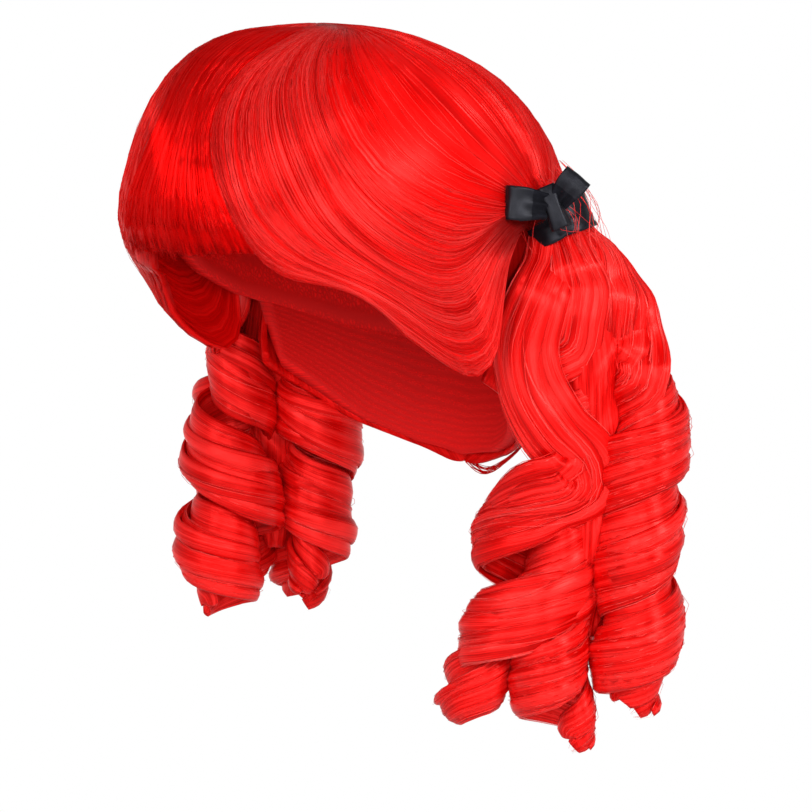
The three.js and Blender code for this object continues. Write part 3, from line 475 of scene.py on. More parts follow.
def lining_material():
    """The inside of the cap: rows of wefts sewn on a net."""
    m, tree = new_material("cap_inside")
    uv = node(tree, "ShaderNodeUVMap", uv_map="OFBake").outputs["UV"]
    turned = node(tree, "ShaderNodeMapping", {"Vector": uv, "Scale": (1, 1, 1)}).outputs["Vector"]
    rows = node(tree, "ShaderNodeTexWave", {"Vector": turned, "Scale": 4.2, "Distortion": 0.6, "Detail": 1.0, "Detail Scale": 3.0}, wave_type="BANDS", bands_direction="Y").outputs["Fac"]
    net = node(tree, "ShaderNodeTexVoronoi", {"Vector": node(tree, "ShaderNodeMapping", {"Vector": uv, "Scale": (190, 75, 1)}).outputs["Vector"], "Scale": 1.0}, feature="DISTANCE_TO_EDGE").outputs["Distance"]
    mixed = node(tree, "ShaderNodeMath", {0: rows, 1: net}, operation="MULTIPLY").outputs[0]
    colour = ramp(tree, mixed, [(0.0, (0.55, 0.0022, 0.002)), (0.25, (0.80, 0.0034, 0.003)), (0.8, (0.90, 0.0045, 0.004))])
    bumped = node(tree, "ShaderNodeBump", {"Strength": 0.6, "Distance": 0.0008, "Height": mixed})
    body = node(tree, "ShaderNodeBsdfPrincipled", {"Base Color": colour, "Roughness": 0.75, "Specular IOR Level": 0.2, "Normal": bumped.outputs["Normal"]})
    node(tree, "ShaderNodeOutputMaterial", {"Surface": body.outputs["BSDF"]})
    return m


def ribbon_material(name, rough, specular):
    """Satin ribbon: fine ribs across its width, soft shine."""
    m, tree = new_material(name)
    uv = node(tree, "ShaderNodeUVMap", uv_map="OFBake").outputs["UV"]
    ribs = streaks(tree, uv, 40, 420, 1.0)
    cloud = streaks(tree, uv, 5, 7, 3.0)
    mixed = node(tree, "ShaderNodeMath", {0: ribs, 1: cloud}, operation="ADD").outputs[0]
    half = node(tree, "ShaderNodeMath", {0: mixed, 1: 0.5}, operation="MULTIPLY").outputs[0]
    colour = ramp(tree, half, [(0.32, (0.0024, 0.0024, 0.0034)), (0.5, (0.0046, 0.0046, 0.0066)), (0.68, (0.009, 0.009, 0.013))])
    bumped = node(tree, "ShaderNodeBump", {"Strength": 0.25, "Distance": 0.0002, "Height": half})
    body = node(tree, "ShaderNodeBsdfPrincipled", {
        "Base Color": colour, "Roughness": rough, "Specular IOR Level": specular, "Specular Tint": (0.86, 0.88, 1.0, 1), "Normal": bumped.outputs["Normal"],
        "Sheen Weight": 0.02, "Sheen Roughness": 0.4,
    })
    node(tree, "ShaderNodeOutputMaterial", {"Surface": body.outputs["BSDF"]})
    return m


# the second satin is a duller copy of the ribbon: painted shade at the bow's knot
LINING, RIBBON, RIBBON_PAINTED_SHADE = lining_material(), ribbon_material("satin_ribbon", 0.38, 0.19), ribbon_material("satin_ribbon_painted_shade", 0.6, 0.05)

# ------------------------------------------------------------------ hair of the cap
OUT = np.array((0.3, 0.5, 0.8))


def taper(n, strands, rng, width, tip=0.25):
    """Half thickness of strands along their length, in millimetres."""
    s = np.linspace(0, 1, n)[None]
    r = width * (0.8 + 0.4 * rng.random((strands, 1)))
    return r * (tip + (1 - tip) * smooth(0, 0.06, s)) * (tip + (1 - tip) * smooth(0, 0.08, 1 - s))


def clumped(k, rng, spacing, pull, s):
    """Strands drift towards the middle of their own small lock."""
    middle = (np.floor(k / spacing) + 0.5) * spacing + spacing * 0.3 * noise(np.floor(k / spacing) * 3.7, 0, 4)
    share = pull * (0.35 + 0.65 * np.sin(np.pi * np.clip(s, 0, 1)) ** 2)
    return k[:, None] + (middle - k)[:, None] * share


def flow_sheet(piece, lo, hi, columns, rows, over, thick, seed, radius=13.0, edge=None, ease=1.0):
    """A grooved sheet of hair that follows the guides from lo to hi into the tie."""
    k = np.linspace(lo, hi, columns)[:, None]
    s = 1 - (1 - np.linspace(0.0, 1, rows)[None]) ** ease
    wide = noise(k * 9 + 0.25 * noise(k * 3, s * 3, seed), s * 2.2, seed + 1) * 0.013
    mid = noise(k * 26 + 0.5 * noise(k * 5, s * 4, seed + 2), s * 2.6, seed + 3) * 0.008
    fine = noise(k * 70, s * 3.2, seed + 5) * 0.004
    h = over + wide + mid + fine + (edge(k, s) if edge else 0)
    r = radius + 9 * (mid + fine)[:, -1]
    grid = swept(k, s, h, r)
    under = swept(k, s, h - thick, radius - 3.0)
    piece.add(*slab(grid, under))


def flow_strands(piece, lo, hi, count, points, over, seed, width=0.2, spread=0.012, edge=None, pull=0.3, starts=(0.0, 0.05), loose=0.025, spacing=0.07, across=None, ease=1.0):
    rng = np.random.default_rng(seed)
    k = rng.uniform(lo, hi, count)
    s0 = rng.uniform(*starts, count)[:, None]
    s = s0 + (1 - s0) * (1 - (1 - np.linspace(0, 1, points)[None]) ** ease)
    wander = np.where(rng.random((count, 1)) < 0.3, 0.11, 0.03)
    kk = np.clip(clumped(k, rng, spacing, pull, s) + wander * noise(s * 2.6, k[:, None] * 31, seed), lo, hi)
    h = over + spread * rng.uniform(-0.6, 1, (count, 1)) + 0.008 * noise(s * 5, k[:, None] * 57, seed + 1)
    off = (rng.random(count) < loose)[:, None]
    h = h + off * rng.uniform(0.02, 0.12, (count, 1)) * np.sin(np.pi * np.clip(s, 0, 1)) ** 2 * (0.6 + 0.4 * noise(s * 3, k[:, None] * 11, seed + 2))
    if edge:
        h = h + edge(kk, s)
    p = swept(kk, s, h, rng.uniform(11.5, 14.0, count))
    r = taper(p.shape[1], count, rng, width) * np.where(off, 0.6, 1)
    first, last = (lo, hi) if across is None else across
    u = np.clip((k - first) / (last - first) + rng.normal(0, 0.01, count), 0.002, 0.99)
    add_strands(piece, p, r, p - np.array((0, 0, -60.0)), u)


def crown_piece():
    piece = Piece("crown_hair")
    # the cap itself, with the hair's roots on it
    around, down = 100, 26
    angle = np.linspace(0, 360, around, endpoint=False)
    folded = np.abs((angle + 180) % 360 - 180)
    rim = np.interp(folded, CROWN_RIM[:, 0], CROWN_RIM[:, 1]) - 0.06
    level = rim[:, None] * (np.linspace(0.01, 1, down)[None])
    under_sweep = smooth(60, 30, folded)[:, None] * smooth(0.6, 1.6, level) + smooth(112, 96, folded)[:, None] * smooth(4.2, 5.6, level)
    high = 0.80 - 0.40 * np.clip(under_sweep, 0, 1) + 0.15 * smooth(0.75, 0.3, level)
    outer, inner = cap_point(angle[:, None], level, high), cap_point(angle[:, None], level, 0.0)
    rows = np.concatenate([outer, inner[:, ::-1]], 1)  # out and down, then in and up
    loop = rows.transpose(1, 0, 2)
    verts, quads, tris = pipe(loop)
    v = np.concatenate([np.linspace(0, 1, down), np.linspace(1, 0, down)])
    uv = np.stack(np.broadcast_arrays(np.abs(angle / 180 - 1)[None], v[:, None]), -1).reshape(-1, 2)
    uv = np.vstack([uv, [(0.5, 0), (0.5, 0)]])
    half = len(quads) // (2 * down - 1) * (down - 1)
    signed = quads
    a, b, c = verts[signed[:, 0]], verts[signed[:, 1]], verts[signed[:, 2]]
    if (a * np.cross(b, c)).sum() < 0:
        quads, tris = quads[:, ::-1], tris[:, ::-1]
    piece.add(verts, quads, tris, uv, outward=False)
    piece.quad_mat[-1][around * 8 : half] = 3  # painted shade: the cap under the hair gets a much darker red
    piece.quad_mat[-1][half:] = 1
    piece.tri_mat[-1][around:] = 1
    for side in (1, -1):
        part = Piece("x")
        part.fine = 2
        flow_sheet(part, *CROWN_GUIDES, 230, 22, 0.965, 0.17, 11 if side > 0 else 23)
        flow_strands(part, *CROWN_GUIDES, 440 if side > 0 else 280, 13, 0.975, 31 if side > 0 else 43)
        piece.join(part, side)
    # the hair that starts at the crown point
    piece.fine = 2
    rng = np.random.default_rng(91)
    count = 240
    turn = rng.uniform(0, 360, (count, 1)) + 24 * np.linspace(1, 0, 9)[None] ** 2
    reach = np.linspace(0, 1, 9)[None] * rng.uniform(0.5, 1.25, (count, 1)) + 0.02
    paths = cap_point(turn, reach, 0.955 + rng.uniform(-0.01, 0.03, (count, 1)) - 0.03 * np.linspace(0, 1, 9)[None] ** 2)
    add_strands(piece, paths, taper(9, count, rng, 0.3), paths - np.array((0, 0, -60.0)), rng.random(count))
    return piece.make([HAIR_CAP, LINING, FINE_CAP, HAIR_UNDER_PAINTED_SHADE])


def sweep_piece(name, side, seed):
    piece = Piece(name)
    piece.fine = 1
    near = side > 0
    turned_in = tuck if near else tuck_far
    flow_sheet(piece, *SWEEP_GUIDES, 200 if near else 130, 58 if near else 32, 0.965, 0.24, seed, edge=turned_in, ease=1.3)
    flow_strands(piece, *SWEEP_GUIDES, 430 if near else 190, 36 if near else 20, 0.978, seed + 7, edge=turned_in, spacing=0.05, ease=1.3)
    flow_strands(piece, 0.0, 0.35, 60 if near else 30, 36 if near else 20, 0.94, seed + 9, edge=turned_in, spacing=0.04, width=0.24, across=SWEEP_GUIDES, ease=1.3)
    return piece.make([HAIR_SWEEP, FINE_SWEEP], side)


def nape_piece():
    piece = Piece("nape_hair_hair")
    # the backing, behind the strands
    angle = np.linspace(99, 261, 90)[:, None]
    folded = np.abs((angle + 180) % 360 - 180)
    top = np.interp(folded, CROWN_RIM[:, 0], CROWN_RIM[:, 1]) - 0.25
    bottom = np.interp(folded, NAPE_EDGE[:, 0], NAPE_EDGE[:, 1]) - 0.1
    v = np.linspace(0, 1, 16)[None]
    level = top + (bottom - top) * v
    ends = 1 - smooth(99, 104, folded) * 1.0
    piece.add(*slab(cap_point(angle, level, 0.70 - 0.16 * v - 0.3 * ends), cap_point(angle, level, 0.015 + 0.10 * v**2)))
    piece.quad_mat[-1][:] = 1
    down = lambda k, s: -0.16 * (1 - s) ** 2 - 0.45 * np.clip((k - 17.2) / 0.8, 0, 1) ** 2 * (1 - 0.5 * s)
    for side in (1, -1):
        part = Piece("x")
        seed = 51 if side > 0 else 67
        flow_sheet(part, *NAPE_GUIDES, 120, 16, 0.92, 0.2, seed, edge=down, radius=12.0)
        flow_strands(part, *NAPE_GUIDES, 200 if side > 0 else 110, 11, 0.95, seed + 4, edge=down, starts=(0.0, 0.06))
        # a few long hairs that hang in a loop below the edge
        rng = np.random.default_rng(seed + 8)
        loops = []
        for _ in range(16 if side > 0 else 0):
            low = rng.normal(0, 0.05)
            ctrl = np.array([(186, 11.15, 0.70), (177, 11.5 + low, 0.78), (164, 11.55 + low, 0.86), (149, 11.0 + low, 0.92), (135, 10.1, 0.96), (122, 8.8, 0.97)])
            ctrl = spline(ctrl + rng.normal(0, (0.8, 0.02, 0.01), (6, 3)), 20)
            loops.append(cap_point(ctrl[:, 0], ctrl[:, 1], ctrl[:, 2]))
        if loops:
            loops = np.array(loops)
            add_strands(part, loops, taper(20, len(loops), rng, 0.24), loops - np.array((0, 0, -60.0)), rng.random(len(loops)))
        piece.join(part, side)
    return piece.make([HAIR_NAPE_SHADED, LINING])


def fringe_paths(w, s, end, depth):
    level = FRINGE[0, 0] + (end - FRINGE[0, 0]) * s
    breadth = np.interp(level, FRINGE[:, 0], FRINGE[:, 1])
    over = np.interp(level, FRINGE[:, 0], FRINGE[:, 2])
    angle = np.degrees(np.arcsin(np.clip(w * breadth / cap_columns(level)[..., 1], -0.97, 0.97)))
    return cap_point(angle, level, over + depth)


def fringe_piece():
    piece = Piece("fringe_hair")
    piece.fine = 1
    columns, rows = 230, 24
    w = np.linspace(-1.05, 1.05, columns)[:, None]
    s = np.linspace(0, 1, rows)[None]
    end = 6.50 + 0.06 * noise(w * 14, 0, 3) + 0.05 * noise(w * 40, 0, 5)
    ridges = noise(w * 11, s * 2.2, 71) * 0.012 + noise(w * 34 + noise(w * 6, s * 3, 72) * 0.5, s * 2.5, 73) * 0.008 + noise(w * 80, s * 3, 75) * 0.004 - 0.06 * smooth(0.86, 1.05, np.abs(w))
    grid = fringe_paths(w, s, end, ridges - 0.02)
    under = fringe_paths(w, s, end - 0.04, ridges - 0.03 - 0.30 * smooth(0.1, 0.5, s) - 0.06)
    piece.add(*slab(grid, under))
    rng = np.random.default_rng(77)
    for count, low, high, width in ((620, -0.022, 0.004, 0.2), (170, -0.26, -0.04, 0.2)):
        k = rng.uniform(-1, 1, count)
        s = np.linspace(0, 1, 14)[None]
        ww = np.clip(clumped(k, rng, 0.035, 0.5, s) + 0.015 * noise(s * 4, k[:, None] * 41, 6), -1, 1)
        end = 6.55 + 0.08 * noise(k[:, None] * 18, 0, 9) + rng.normal(0, 0.035, (count, 1)) - 0.35 * rng.random((count, 1)) ** 6
        h = rng.uniform(low, high, (count, 1)) * smooth(0, 0.3, s) + 0.008 * noise(s * 5, k[:, None] * 23, 8) - 0.04 * smooth(0.86, 1.0, np.abs(ww))
        p = fringe_paths(ww, s, end, h)
        r = taper(14, count, rng, width)
        add_strands(piece, p, r, p - np.array((0, 0, -60.0)), np.clip((k + 1) / 2, 0.002, 0.998))
    return piece.make([HAIR_FRINGE, FINE_FRINGE])


# ------------------------------------------------------------------ ponytails
# the middle of each ponytail, inside its ringlets: height, x, y, half thickness
INNER = {
    "left": [(-106, 99, 50, 17), (-130, 102, 54, 19), (-160, 103, 56, 18), (-195, 103, 57, 15), (-235, 102, 57, 12), (-268, 101, 56, 6)],
    "right": [(-106, 99, 50, 15), (-130, 103, 51, 17), (-160, 106, 51, 16), (-195, 107, 51, 13), (-225, 107, 51, 10), (-250, 107, 51, 5)],
}


def bundle_piece(name, side, seed):
    """Hair drawn together under the ribbon, and the hair that hangs inside the ringlets."""
    piece = Piece(name)
    piece.fine = 1
    inner = INNER["left" if side > 0 else "right"]
    ctrl = [(*(TIE - TIE_WAY * 19 - BOW_FACE * 9), 4), (*(TIE - TIE_WAY * 13 - BOW_FACE * 3), 9), (*(TIE - TIE_WAY * 6), 13.6), (*(TIE + TIE_WAY * 8), 13.8)] + [(x, y, z, r) for z, x, y, r in inner]
    n = 84
    line = evenly(spline(ctrl, 600), n)
    axis, radius = line[:, :3], line[:, 3]
    t = normalised(np.gradient(axis, axis=0))
    a = normalised(np.cross(t, BOW_FACE))
    d = np.cross(a, t)
    turn = np.linspace(0, 2 * math.pi, 72, endpoint=False)
    share = np.linspace(0, 1, n)[:, None]
    below = smooth(0.24, 0.42, share)
    twisted = turn[None] + 9.0 * share
    ring = lambda f, g, k: noise(np.cos(twisted) * f, np.sin(twisted) * f + share * g, k)
    groove = 0.4 * ring(9, 4, seed) + 0.35 * ring(22, 6, seed + 1) + below * (2.6 * ring(1.4, 9, seed + 2) + 1.2 * ring(4, 9, seed + 3))
    r = (radius[:, None] + groove)[..., None]
    rows = axis[:, None] + r * (np.cos(turn)[None, :, None] * a[:, None] + np.sin(turn)[None, :, None] * d[:, None])
    verts, quads, tris = pipe(rows)
    uv = np.stack(np.broadcast_arrays(np.abs(turn / math.pi - 1)[None], share), -1).reshape(-1, 2)
    piece.add(verts, quads, tris, np.vstack([uv, [(0.5, 0.0), (0.5, 1.0)]]))
    # stray hairs over the ribbon
    rng = np.random.default_rng(seed + 5)
    strays = []
    for _ in range(22):
        b0, b1, b2 = np.radians(rng.uniform(-70, 80)) + np.cumsum(rng.normal(0, 0.35, 3))
        at = lambda b, down, out: TIE + TIE_WAY * down + (math.cos(b) * BOW_FACE + math.sin(b) * BOW_SIDE) * out
        ctrl = [at(b0, -26, 13), at(b0, -15, 17.5), at(b1, rng.uniform(-6, 4), rng.uniform(18.5, 22)), at(b2, 13, rng.uniform(17, 20)), at(b2, 30, 16)]
        strays.append(spline(ctrl, 18))
    strays = np.array(strays)
    add_strands(piece, strays, taper(18, len(strays), rng, 0.11), strays - TIE, rng.random(len(strays)))
    return piece.make([HAIR_CURL, FINE_CURL], side)


def centripetal(points, n):
    """Dense points on a centripetal curve through points."""
    p = np.asarray(points, float)
    p = np.vstack([2 * p[0] - p[1], p, 2 * p[-1] - p[-2]])
    out = []
    for i in range(1, len(p) - 2):
        x0, x1, x2, x3 = p[i - 1 : i + 3]
        d0, d1, d2 = (np.linalg.norm(b - a) ** 0.5 for a, b in ((x0, x1), (x1, x2), (x2, x3)))
        t1 = ((x1 - x0) / d0 - (x2 - x0) / (d0 + d1) + (x2 - x1) / d1) * d1
        t2 = ((x2 - x1) / d1 - (x3 - x1) / (d1 + d2) + (x3 - x2) / d2) * d1
        t = np.linspace(0, 1, n, endpoint=i == len(p) - 3)[:, None]
        out.append(x1 + t1 * t + (-3 * x1 + 3 * x2 - 2 * t1 - t2) * t**2 + (2 * x1 - 2 * x2 + t1 + t2) * t**3)
    return np.vstack(out)


ROWS = 141


def lock_run(lock):
    """The middle line of a ringlet, the line that it winds round, and which way it faces."""
    start = TIE + TIE_WAY * (BAND_WIDTH / 2 + 1.7)
    if lock is SWUNG:
        side = np.array(lock, float)
        way_r, way_f = np.array((1, 1, 0)) / math.sqrt(2), np.array((1, -1, 0)) / math.sqrt(2)
        points = np.array((HANG[0], HANG[1], 0)) + side[:, 1:2] * way_r + side[:, 2:3] * way_f + side[:, :1] * np.array((0, 0, 1.0))
        fan = unit(way_f * 20 - way_r * 12)
        fan = unit(fan - TIE_WAY * (fan @ TIE_WAY))
        centre = evenly(centripetal([start + fan * 8, start + TIE_WAY * 9 + fan * 11 - way_r * 5.5, *points], 120), 1601)
        k = np.exp(-0.5 * (np.arange(-330, 331) / 110.0) ** 2)
        padded = np.pad(centre, ((330, 330), (0, 0)), mode="reflect", reflect_type="odd")
        axis = np.stack([np.convolve(padded[:, c], k / k.sum(), "valid") for c in range(3)], 1)
        run = np.linspace(0, 1, len(axis))
        out = normalised((centre - np.array((HANG[0], HANG[1], 0))) * (1, 1, 0) + way_f * 30)
        way = normalised(normalised(centre - axis) * smooth(0.26, 0.36, run)[:, None] + out * smooth(0.36, 0.24, run)[:, None])
        return centre, axis, way, fan
    hand, coils, rows = lock
    rows, coils = np.array(rows, float), np.array(coils, float)
    fan = unit((rows[0, 1], rows[0, 2], 0.0))
    fan = unit(fan - TIE_WAY * (fan @ TIE_WAY))
    first, settled = rows[0, 0], rows[1, 0]
    ctrl = [start + fan * 8, start + TIE_WAY * 12 + fan * 13.5] + [np.array((HANG[0] + r[1], HANG[1] + r[2], r[0])) for r in rows]
    axis = evenly(centripetal(ctrl, 120), 1601)

    def turns(z):
        i = np.clip(np.searchsorted(-coils, -z, side="right") - 1, 0, len(coils) - 2)
        return i + (coils[i] - z) / (coils[i] - coils[i + 1])

    settled_turn = float(turns(np.array(settled))) * hand
    fan_turn = math.atan2(fan @ BACK_OUT, fan @ FORWARD_OUT) / (2 * math.pi)
    root_turn = fan_turn + round(settled_turn - fan_turn)
    z = axis[:, 2]
    twist = np.clip((z - start[2]) / (settled - start[2]), 0, 1)
    turn = np.where(z > settled, root_turn + (settled_turn - root_turn) * twist, turns(z) * hand)
    way = np.cos(2 * math.pi * turn)[:, None] * FORWARD_OUT + np.sin(2 * math.pi * turn)[:, None] * BACK_OUT
    i = np.clip(np.searchsorted(-rows[:, 0], -z, side="right") - 1, 0, len(rows) - 2)
    t = np.clip((rows[i, 0] - z) / (rows[i, 0] - rows[i + 1, 0]), 0, 1)
    reach = (rows[i, 3] + (rows[i + 1, 3] - rows[i, 3]) * t * t * (3 - 2 * t)) * smooth(start[2], first, z)
    reach = reach + 2.6 * np.sin(2 * math.pi * (z + 121) / 36) * smooth(-95, -108, z) * smooth(-180, -160, z)  # the soft waves of the upper part
    return axis + way * reach[:, None], axis, way, fan


def lock_frame(lock, seed, ahead=0.0, reach_by=1.0, splay=0.0):
    """How one strand of a ringlet lies, row by row from the tie to the tip."""
    centre, axis, way, fan = lock_run(lock)
    n = len(centre)
    run = np.linspace(0, 1, n)
    settled = smooth(0.12, 0.34, run)
    moved = np.clip(run + (ahead * 0.16 + 0.008 * noise(run * 7, 0, seed + 11)) * settled * smooth(1.0, 0.9, run), 0, 1) * (n - 1)
    at = lambda q: np.stack([np.interp(moved, np.arange(n), q[:, c]) for c in range(3)], 1)
    off = at(centre) - at(axis)
    scale = 1 + (reach_by - 1 + (0.10 if reach_by == 1.0 else 0.17) * noise(run * 9, 3, seed + 12)) * settled + splay * smooth(0.86, 1, run)
    drop = axis + (at(axis) - axis) * (1, 1, 0.35)
    sway = 3.2 * np.stack([noise(run * 6, 0, seed % 100 + 13), noise(run * 6, 4, seed % 100 + 14), 0 * run], 1) * settled[:, None]
    curl_in = 1 - (0.0 if lock is SWUNG else 0.3) * smooth(0.84, 1.0, run)
    centre, way = drop + sway + off * (scale * curl_in)[:, None], normalised(at(way))
    e, idx = 30, np.arange(n)
    along = normalised(centre[np.minimum(idx + e, n - 1)] - centre[np.maximum(idx - e, 0)])
    deep = normalised(way - along * (way * along).sum(1, keepdims=True))
    across = normalised(np.cross(along, deep))
    pick = np.linspace(0, n - 1, ROWS).round().astype(int)
    share = np.linspace(0, 1, ROWS)
    fan_out, opened, close = smooth(0, 0.12, share), smooth(0.12, 0.34, share), smooth(0.86, 1, share)
    L = LOCK
    root = L["root_breadth"] + (4 if lock is SWUNG else 0)
    breadth = root + (L["top_breadth"] - root) * fan_out + (L["breadth"] - L["top_breadth"]) * opened - (L["breadth"] - L["end_breadth"]) * close
    depth = L["root_depth"] + (L["top_depth"] - L["root_depth"]) * fan_out + (L["depth"] - L["top_depth"]) * opened - (L["depth"] - L["end_depth"]) * close
    centre, deep, across = centre[pick], deep[pick], across[pick]
    back = smooth(0.03, 0, share)[:, None]  # the first rows reach back into the ribbon
    centre = centre - TIE_WAY * 6 * back - fan * 1.5 * back
    return centre, deep, across, breadth / 2, depth / 2


# what makes up one ringlet: place across it, breadth, shift along it, how far it winds, where it ends, spread of its tip, thickness
WISPS = [
    (0.0, 0.92, 0.0, 1.0, 0.985, 0.0, 1.0),
    (-0.62, 0.36, 0.02, 1.05, 0.968, 0.10, 0.62), (0.62, 0.34, -0.03, 1.04, 0.952, -0.08, 0.62),
    (-0.18, 0.38, 0.05, 1.09, 0.95, 0.06, 0.55), (0.05, 0.72, 0.6, 0.80, 0.94, 0.0, 0.8), (0.25, 0.32, -0.06, 1.10, 0.962, 0.10, 0.55),
]


def section(angle, half, thick, middle, lift=0.0):
    """Place across and out of a lock at an angle round it: flat within, full without, thin at its edges."""
    c, d = np.cos(angle), np.sin(angle)
    full = d * (0.5 + 0.5 * np.abs(d)) * thick * np.where(d > 0, 1.0, 0.7)
    return middle + c * (half + lift), full + d * lift - 0.07 * half * c**2


def ringlet_piece(name, lock, side, seed, strands, near):
    piece = Piece(name)
    piece.fine = 1
    share = np.linspace(0, 1, ROWS)
    rng = np.random.default_rng(seed)
    wisps = WISPS if near else WISPS[:5]
    for w, (place, breadth, ahead, reach_by, end, splay, full) in enumerate(wisps):
        s = seed + 100 * w
        if lock is SWUNG:
            splay, end = 0.0, min(end, 0.985 - 0.006 * w)
        centre, deep, across, wide, thick = lock_frame(lock, s, ahead, reach_by, splay)
        main = w == 0
        wavy = 1 + (0.2 if main else 0.26) * noise(share * 15, 1, s + 4)
        narrow = (1 - (0.35 if lock is SWUNG else 0.45 if main else 0.25) * smooth(end - 0.17, end, share)) * np.sqrt(1 - 0.97 * np.clip((share - end + 0.028) / 0.028, 0, 1) ** 2)
        half = wide * breadth * wavy * narrow
        round_by = np.minimum(thick * full, half * 0.95) * (0.4 + 0.6 * narrow) * (1 + 0.12 * noise(share * 10, 5, s + 5))
        middle = place * wide * (1 - 0.3 * smooth(end - 0.15, end, share)) + (2.0 if main else 3.6) * noise(share * 11, 2, s + 6) * smooth(0.08, 0.25, share)
        # the body, grooved along its length
        C = (48 if near else 36) if main else (16 if near else 14)
        phi = np.linspace(0, 2 * math.pi, C, endpoint=False)
        ring = lambda f, g, k: noise(np.cos(phi)[None] * f, np.sin(phi)[None] * f + share[:, None] * g, k)
        f = 1.0 if main else 0.4
        groove = (0.34 * ring(2.2 * f, 9, s) + 0.26 * ring(5.5 * f, 10, s + 1) + 0.17 * ring(12 * f, 11, s + 2)) * (np.minimum(1, half / 6) * smooth(end, end - 0.08, share))[:, None]
        A, D = section(phi[None], half[:, None], round_by[:, None], middle[:, None], groove)
        rows = (centre[:, None] + across[:, None] * A[..., None] + deep[:, None] * D[..., None])[share <= end]
        verts, quads, tris = pipe(rows)
        u = place * 0.3 + 0.5 + 0.5 * breadth * (np.abs(phi / math.pi - 1) - 0.5)
        uv = np.stack(np.broadcast_arrays(u[None], share[share <= end][:, None]), -1).reshape(-1, 2)
        piece.add(verts, quads, tris, np.vstack([uv, [(u[0], 0.0), (u[0], 1.0)]]))
        # strands over it
        count, n = int(strands * (0.4 if main else 0.6 / (len(wisps) - 1))), 70
        angle = rng.uniform(0, 2 * math.pi, count)
        angle = np.where(rng.random(count) < 0.75, np.pi * rng.random(count), angle)[:, None]
        t = end * (1 - 0.12 * rng.random((count, 1)) ** 2) * np.linspace(0, 1, n)[None]
        turned = angle + 0.45 * noise(t * 6, angle * 9, s + 7)
        loose = rng.random((count, 1)) < 0.28
        fr = t * (ROWS - 1)
        j = np.minimum(fr.astype(int), ROWS - 2)
        g = fr - j
        at = lambda q: q[j] * (1 - g) + q[j + 1] * g if q.ndim == 1 else q[j] * (1 - g)[..., None] + q[j + 1] * g[..., None]
        lift = 0.1 + 0.35 * rng.random((count, 1)) + loose * (0.4 + 3.0 * rng.random((count, 1)) ** 2) * (0.55 + 0.45 * noise(t * 9, angle * 17, s + 8)) * smooth(0.1, 0.3, t)
        aa, dd = section(turned, at(half), at(round_by), at(middle), lift)
        p = at(centre) + at(across) * aa[..., None] + at(deep) * dd[..., None]
        r = taper(n, count, rng, 0.24) * np.where(loose, 0.5, 1)
        uu = np.clip(place * 0.3 + 0.5 + 0.5 * breadth * (np.abs(((angle[:, 0] / math.pi) % 2) - 1) - 0.5), 0.002, 0.998)
        add_strands(piece, p, r, at(deep), uu, t)
    return piece.make([HAIR_CURL, FINE_CURL], side)


# ------------------------------------------------------------------ ribbon
def band_piece(name, side, seed):
    """Ribbon wound once round the bundle, gathered into soft creases."""
    around, cols = 112, 12
    turn = np.linspace(0, 2 * math.pi, around, endpoint=False)[:, None]
    x = np.linspace(-1, 1, cols)[None]
    flare = 0.5 * np.abs(x) ** 3 + 0.35 * noise(turn * 3, x * 1.5, seed) + 0.30 * noise(turn * 1.2 + x * 0.4, x * 3.2, seed + 1) + 0.5 * np.exp(-((x - 0.15 - 0.2 * np.sin(turn)) / 0.16) ** 2)
    R = 15.25 + flare
    along = x * BAND_WIDTH / 2 + 0.5 * noise(turn * 1.5, 0, seed + 2)
    direction = np.cos(turn)[..., None] * BOW_FACE + np.sin(turn)[..., None] * BOW_SIDE
    outer = TIE + TIE_WAY * along[..., None] + direction * (R + CLOTH)[..., None]
    inner = TIE + TIE_WAY * along[..., None] + direction * R[..., None]
    rows = np.concatenate([outer, inner[:, ::-1]], 1)
    verts, quads, tris = pipe(rows, closed=True)
    v = np.abs(turn[:, 0] / math.pi - 1)
    u = np.concatenate([np.linspace(0, 1, cols), np.linspace(1, 0, cols)])
    uv = np.stack(np.broadcast_arrays(u[None], v[:, None]), -1).reshape(-1, 2)
    piece = Piece(name)
    piece.add(verts, quads, tris, uv)
    return piece.make([RIBBON], side), (BAND_WIDTH * MM, 2 * math.pi * 15.9 * MM)


def bezier(a, b, c, d, n):
    t = np.linspace(0, 1, n)[:, None]
    return (1 - t) ** 3 * np.array(a) + 3 * (1 - t) ** 2 * t * np.array(b) + 3 * (1 - t) * t**2 * np.array(c) + t**3 * np.array(d)


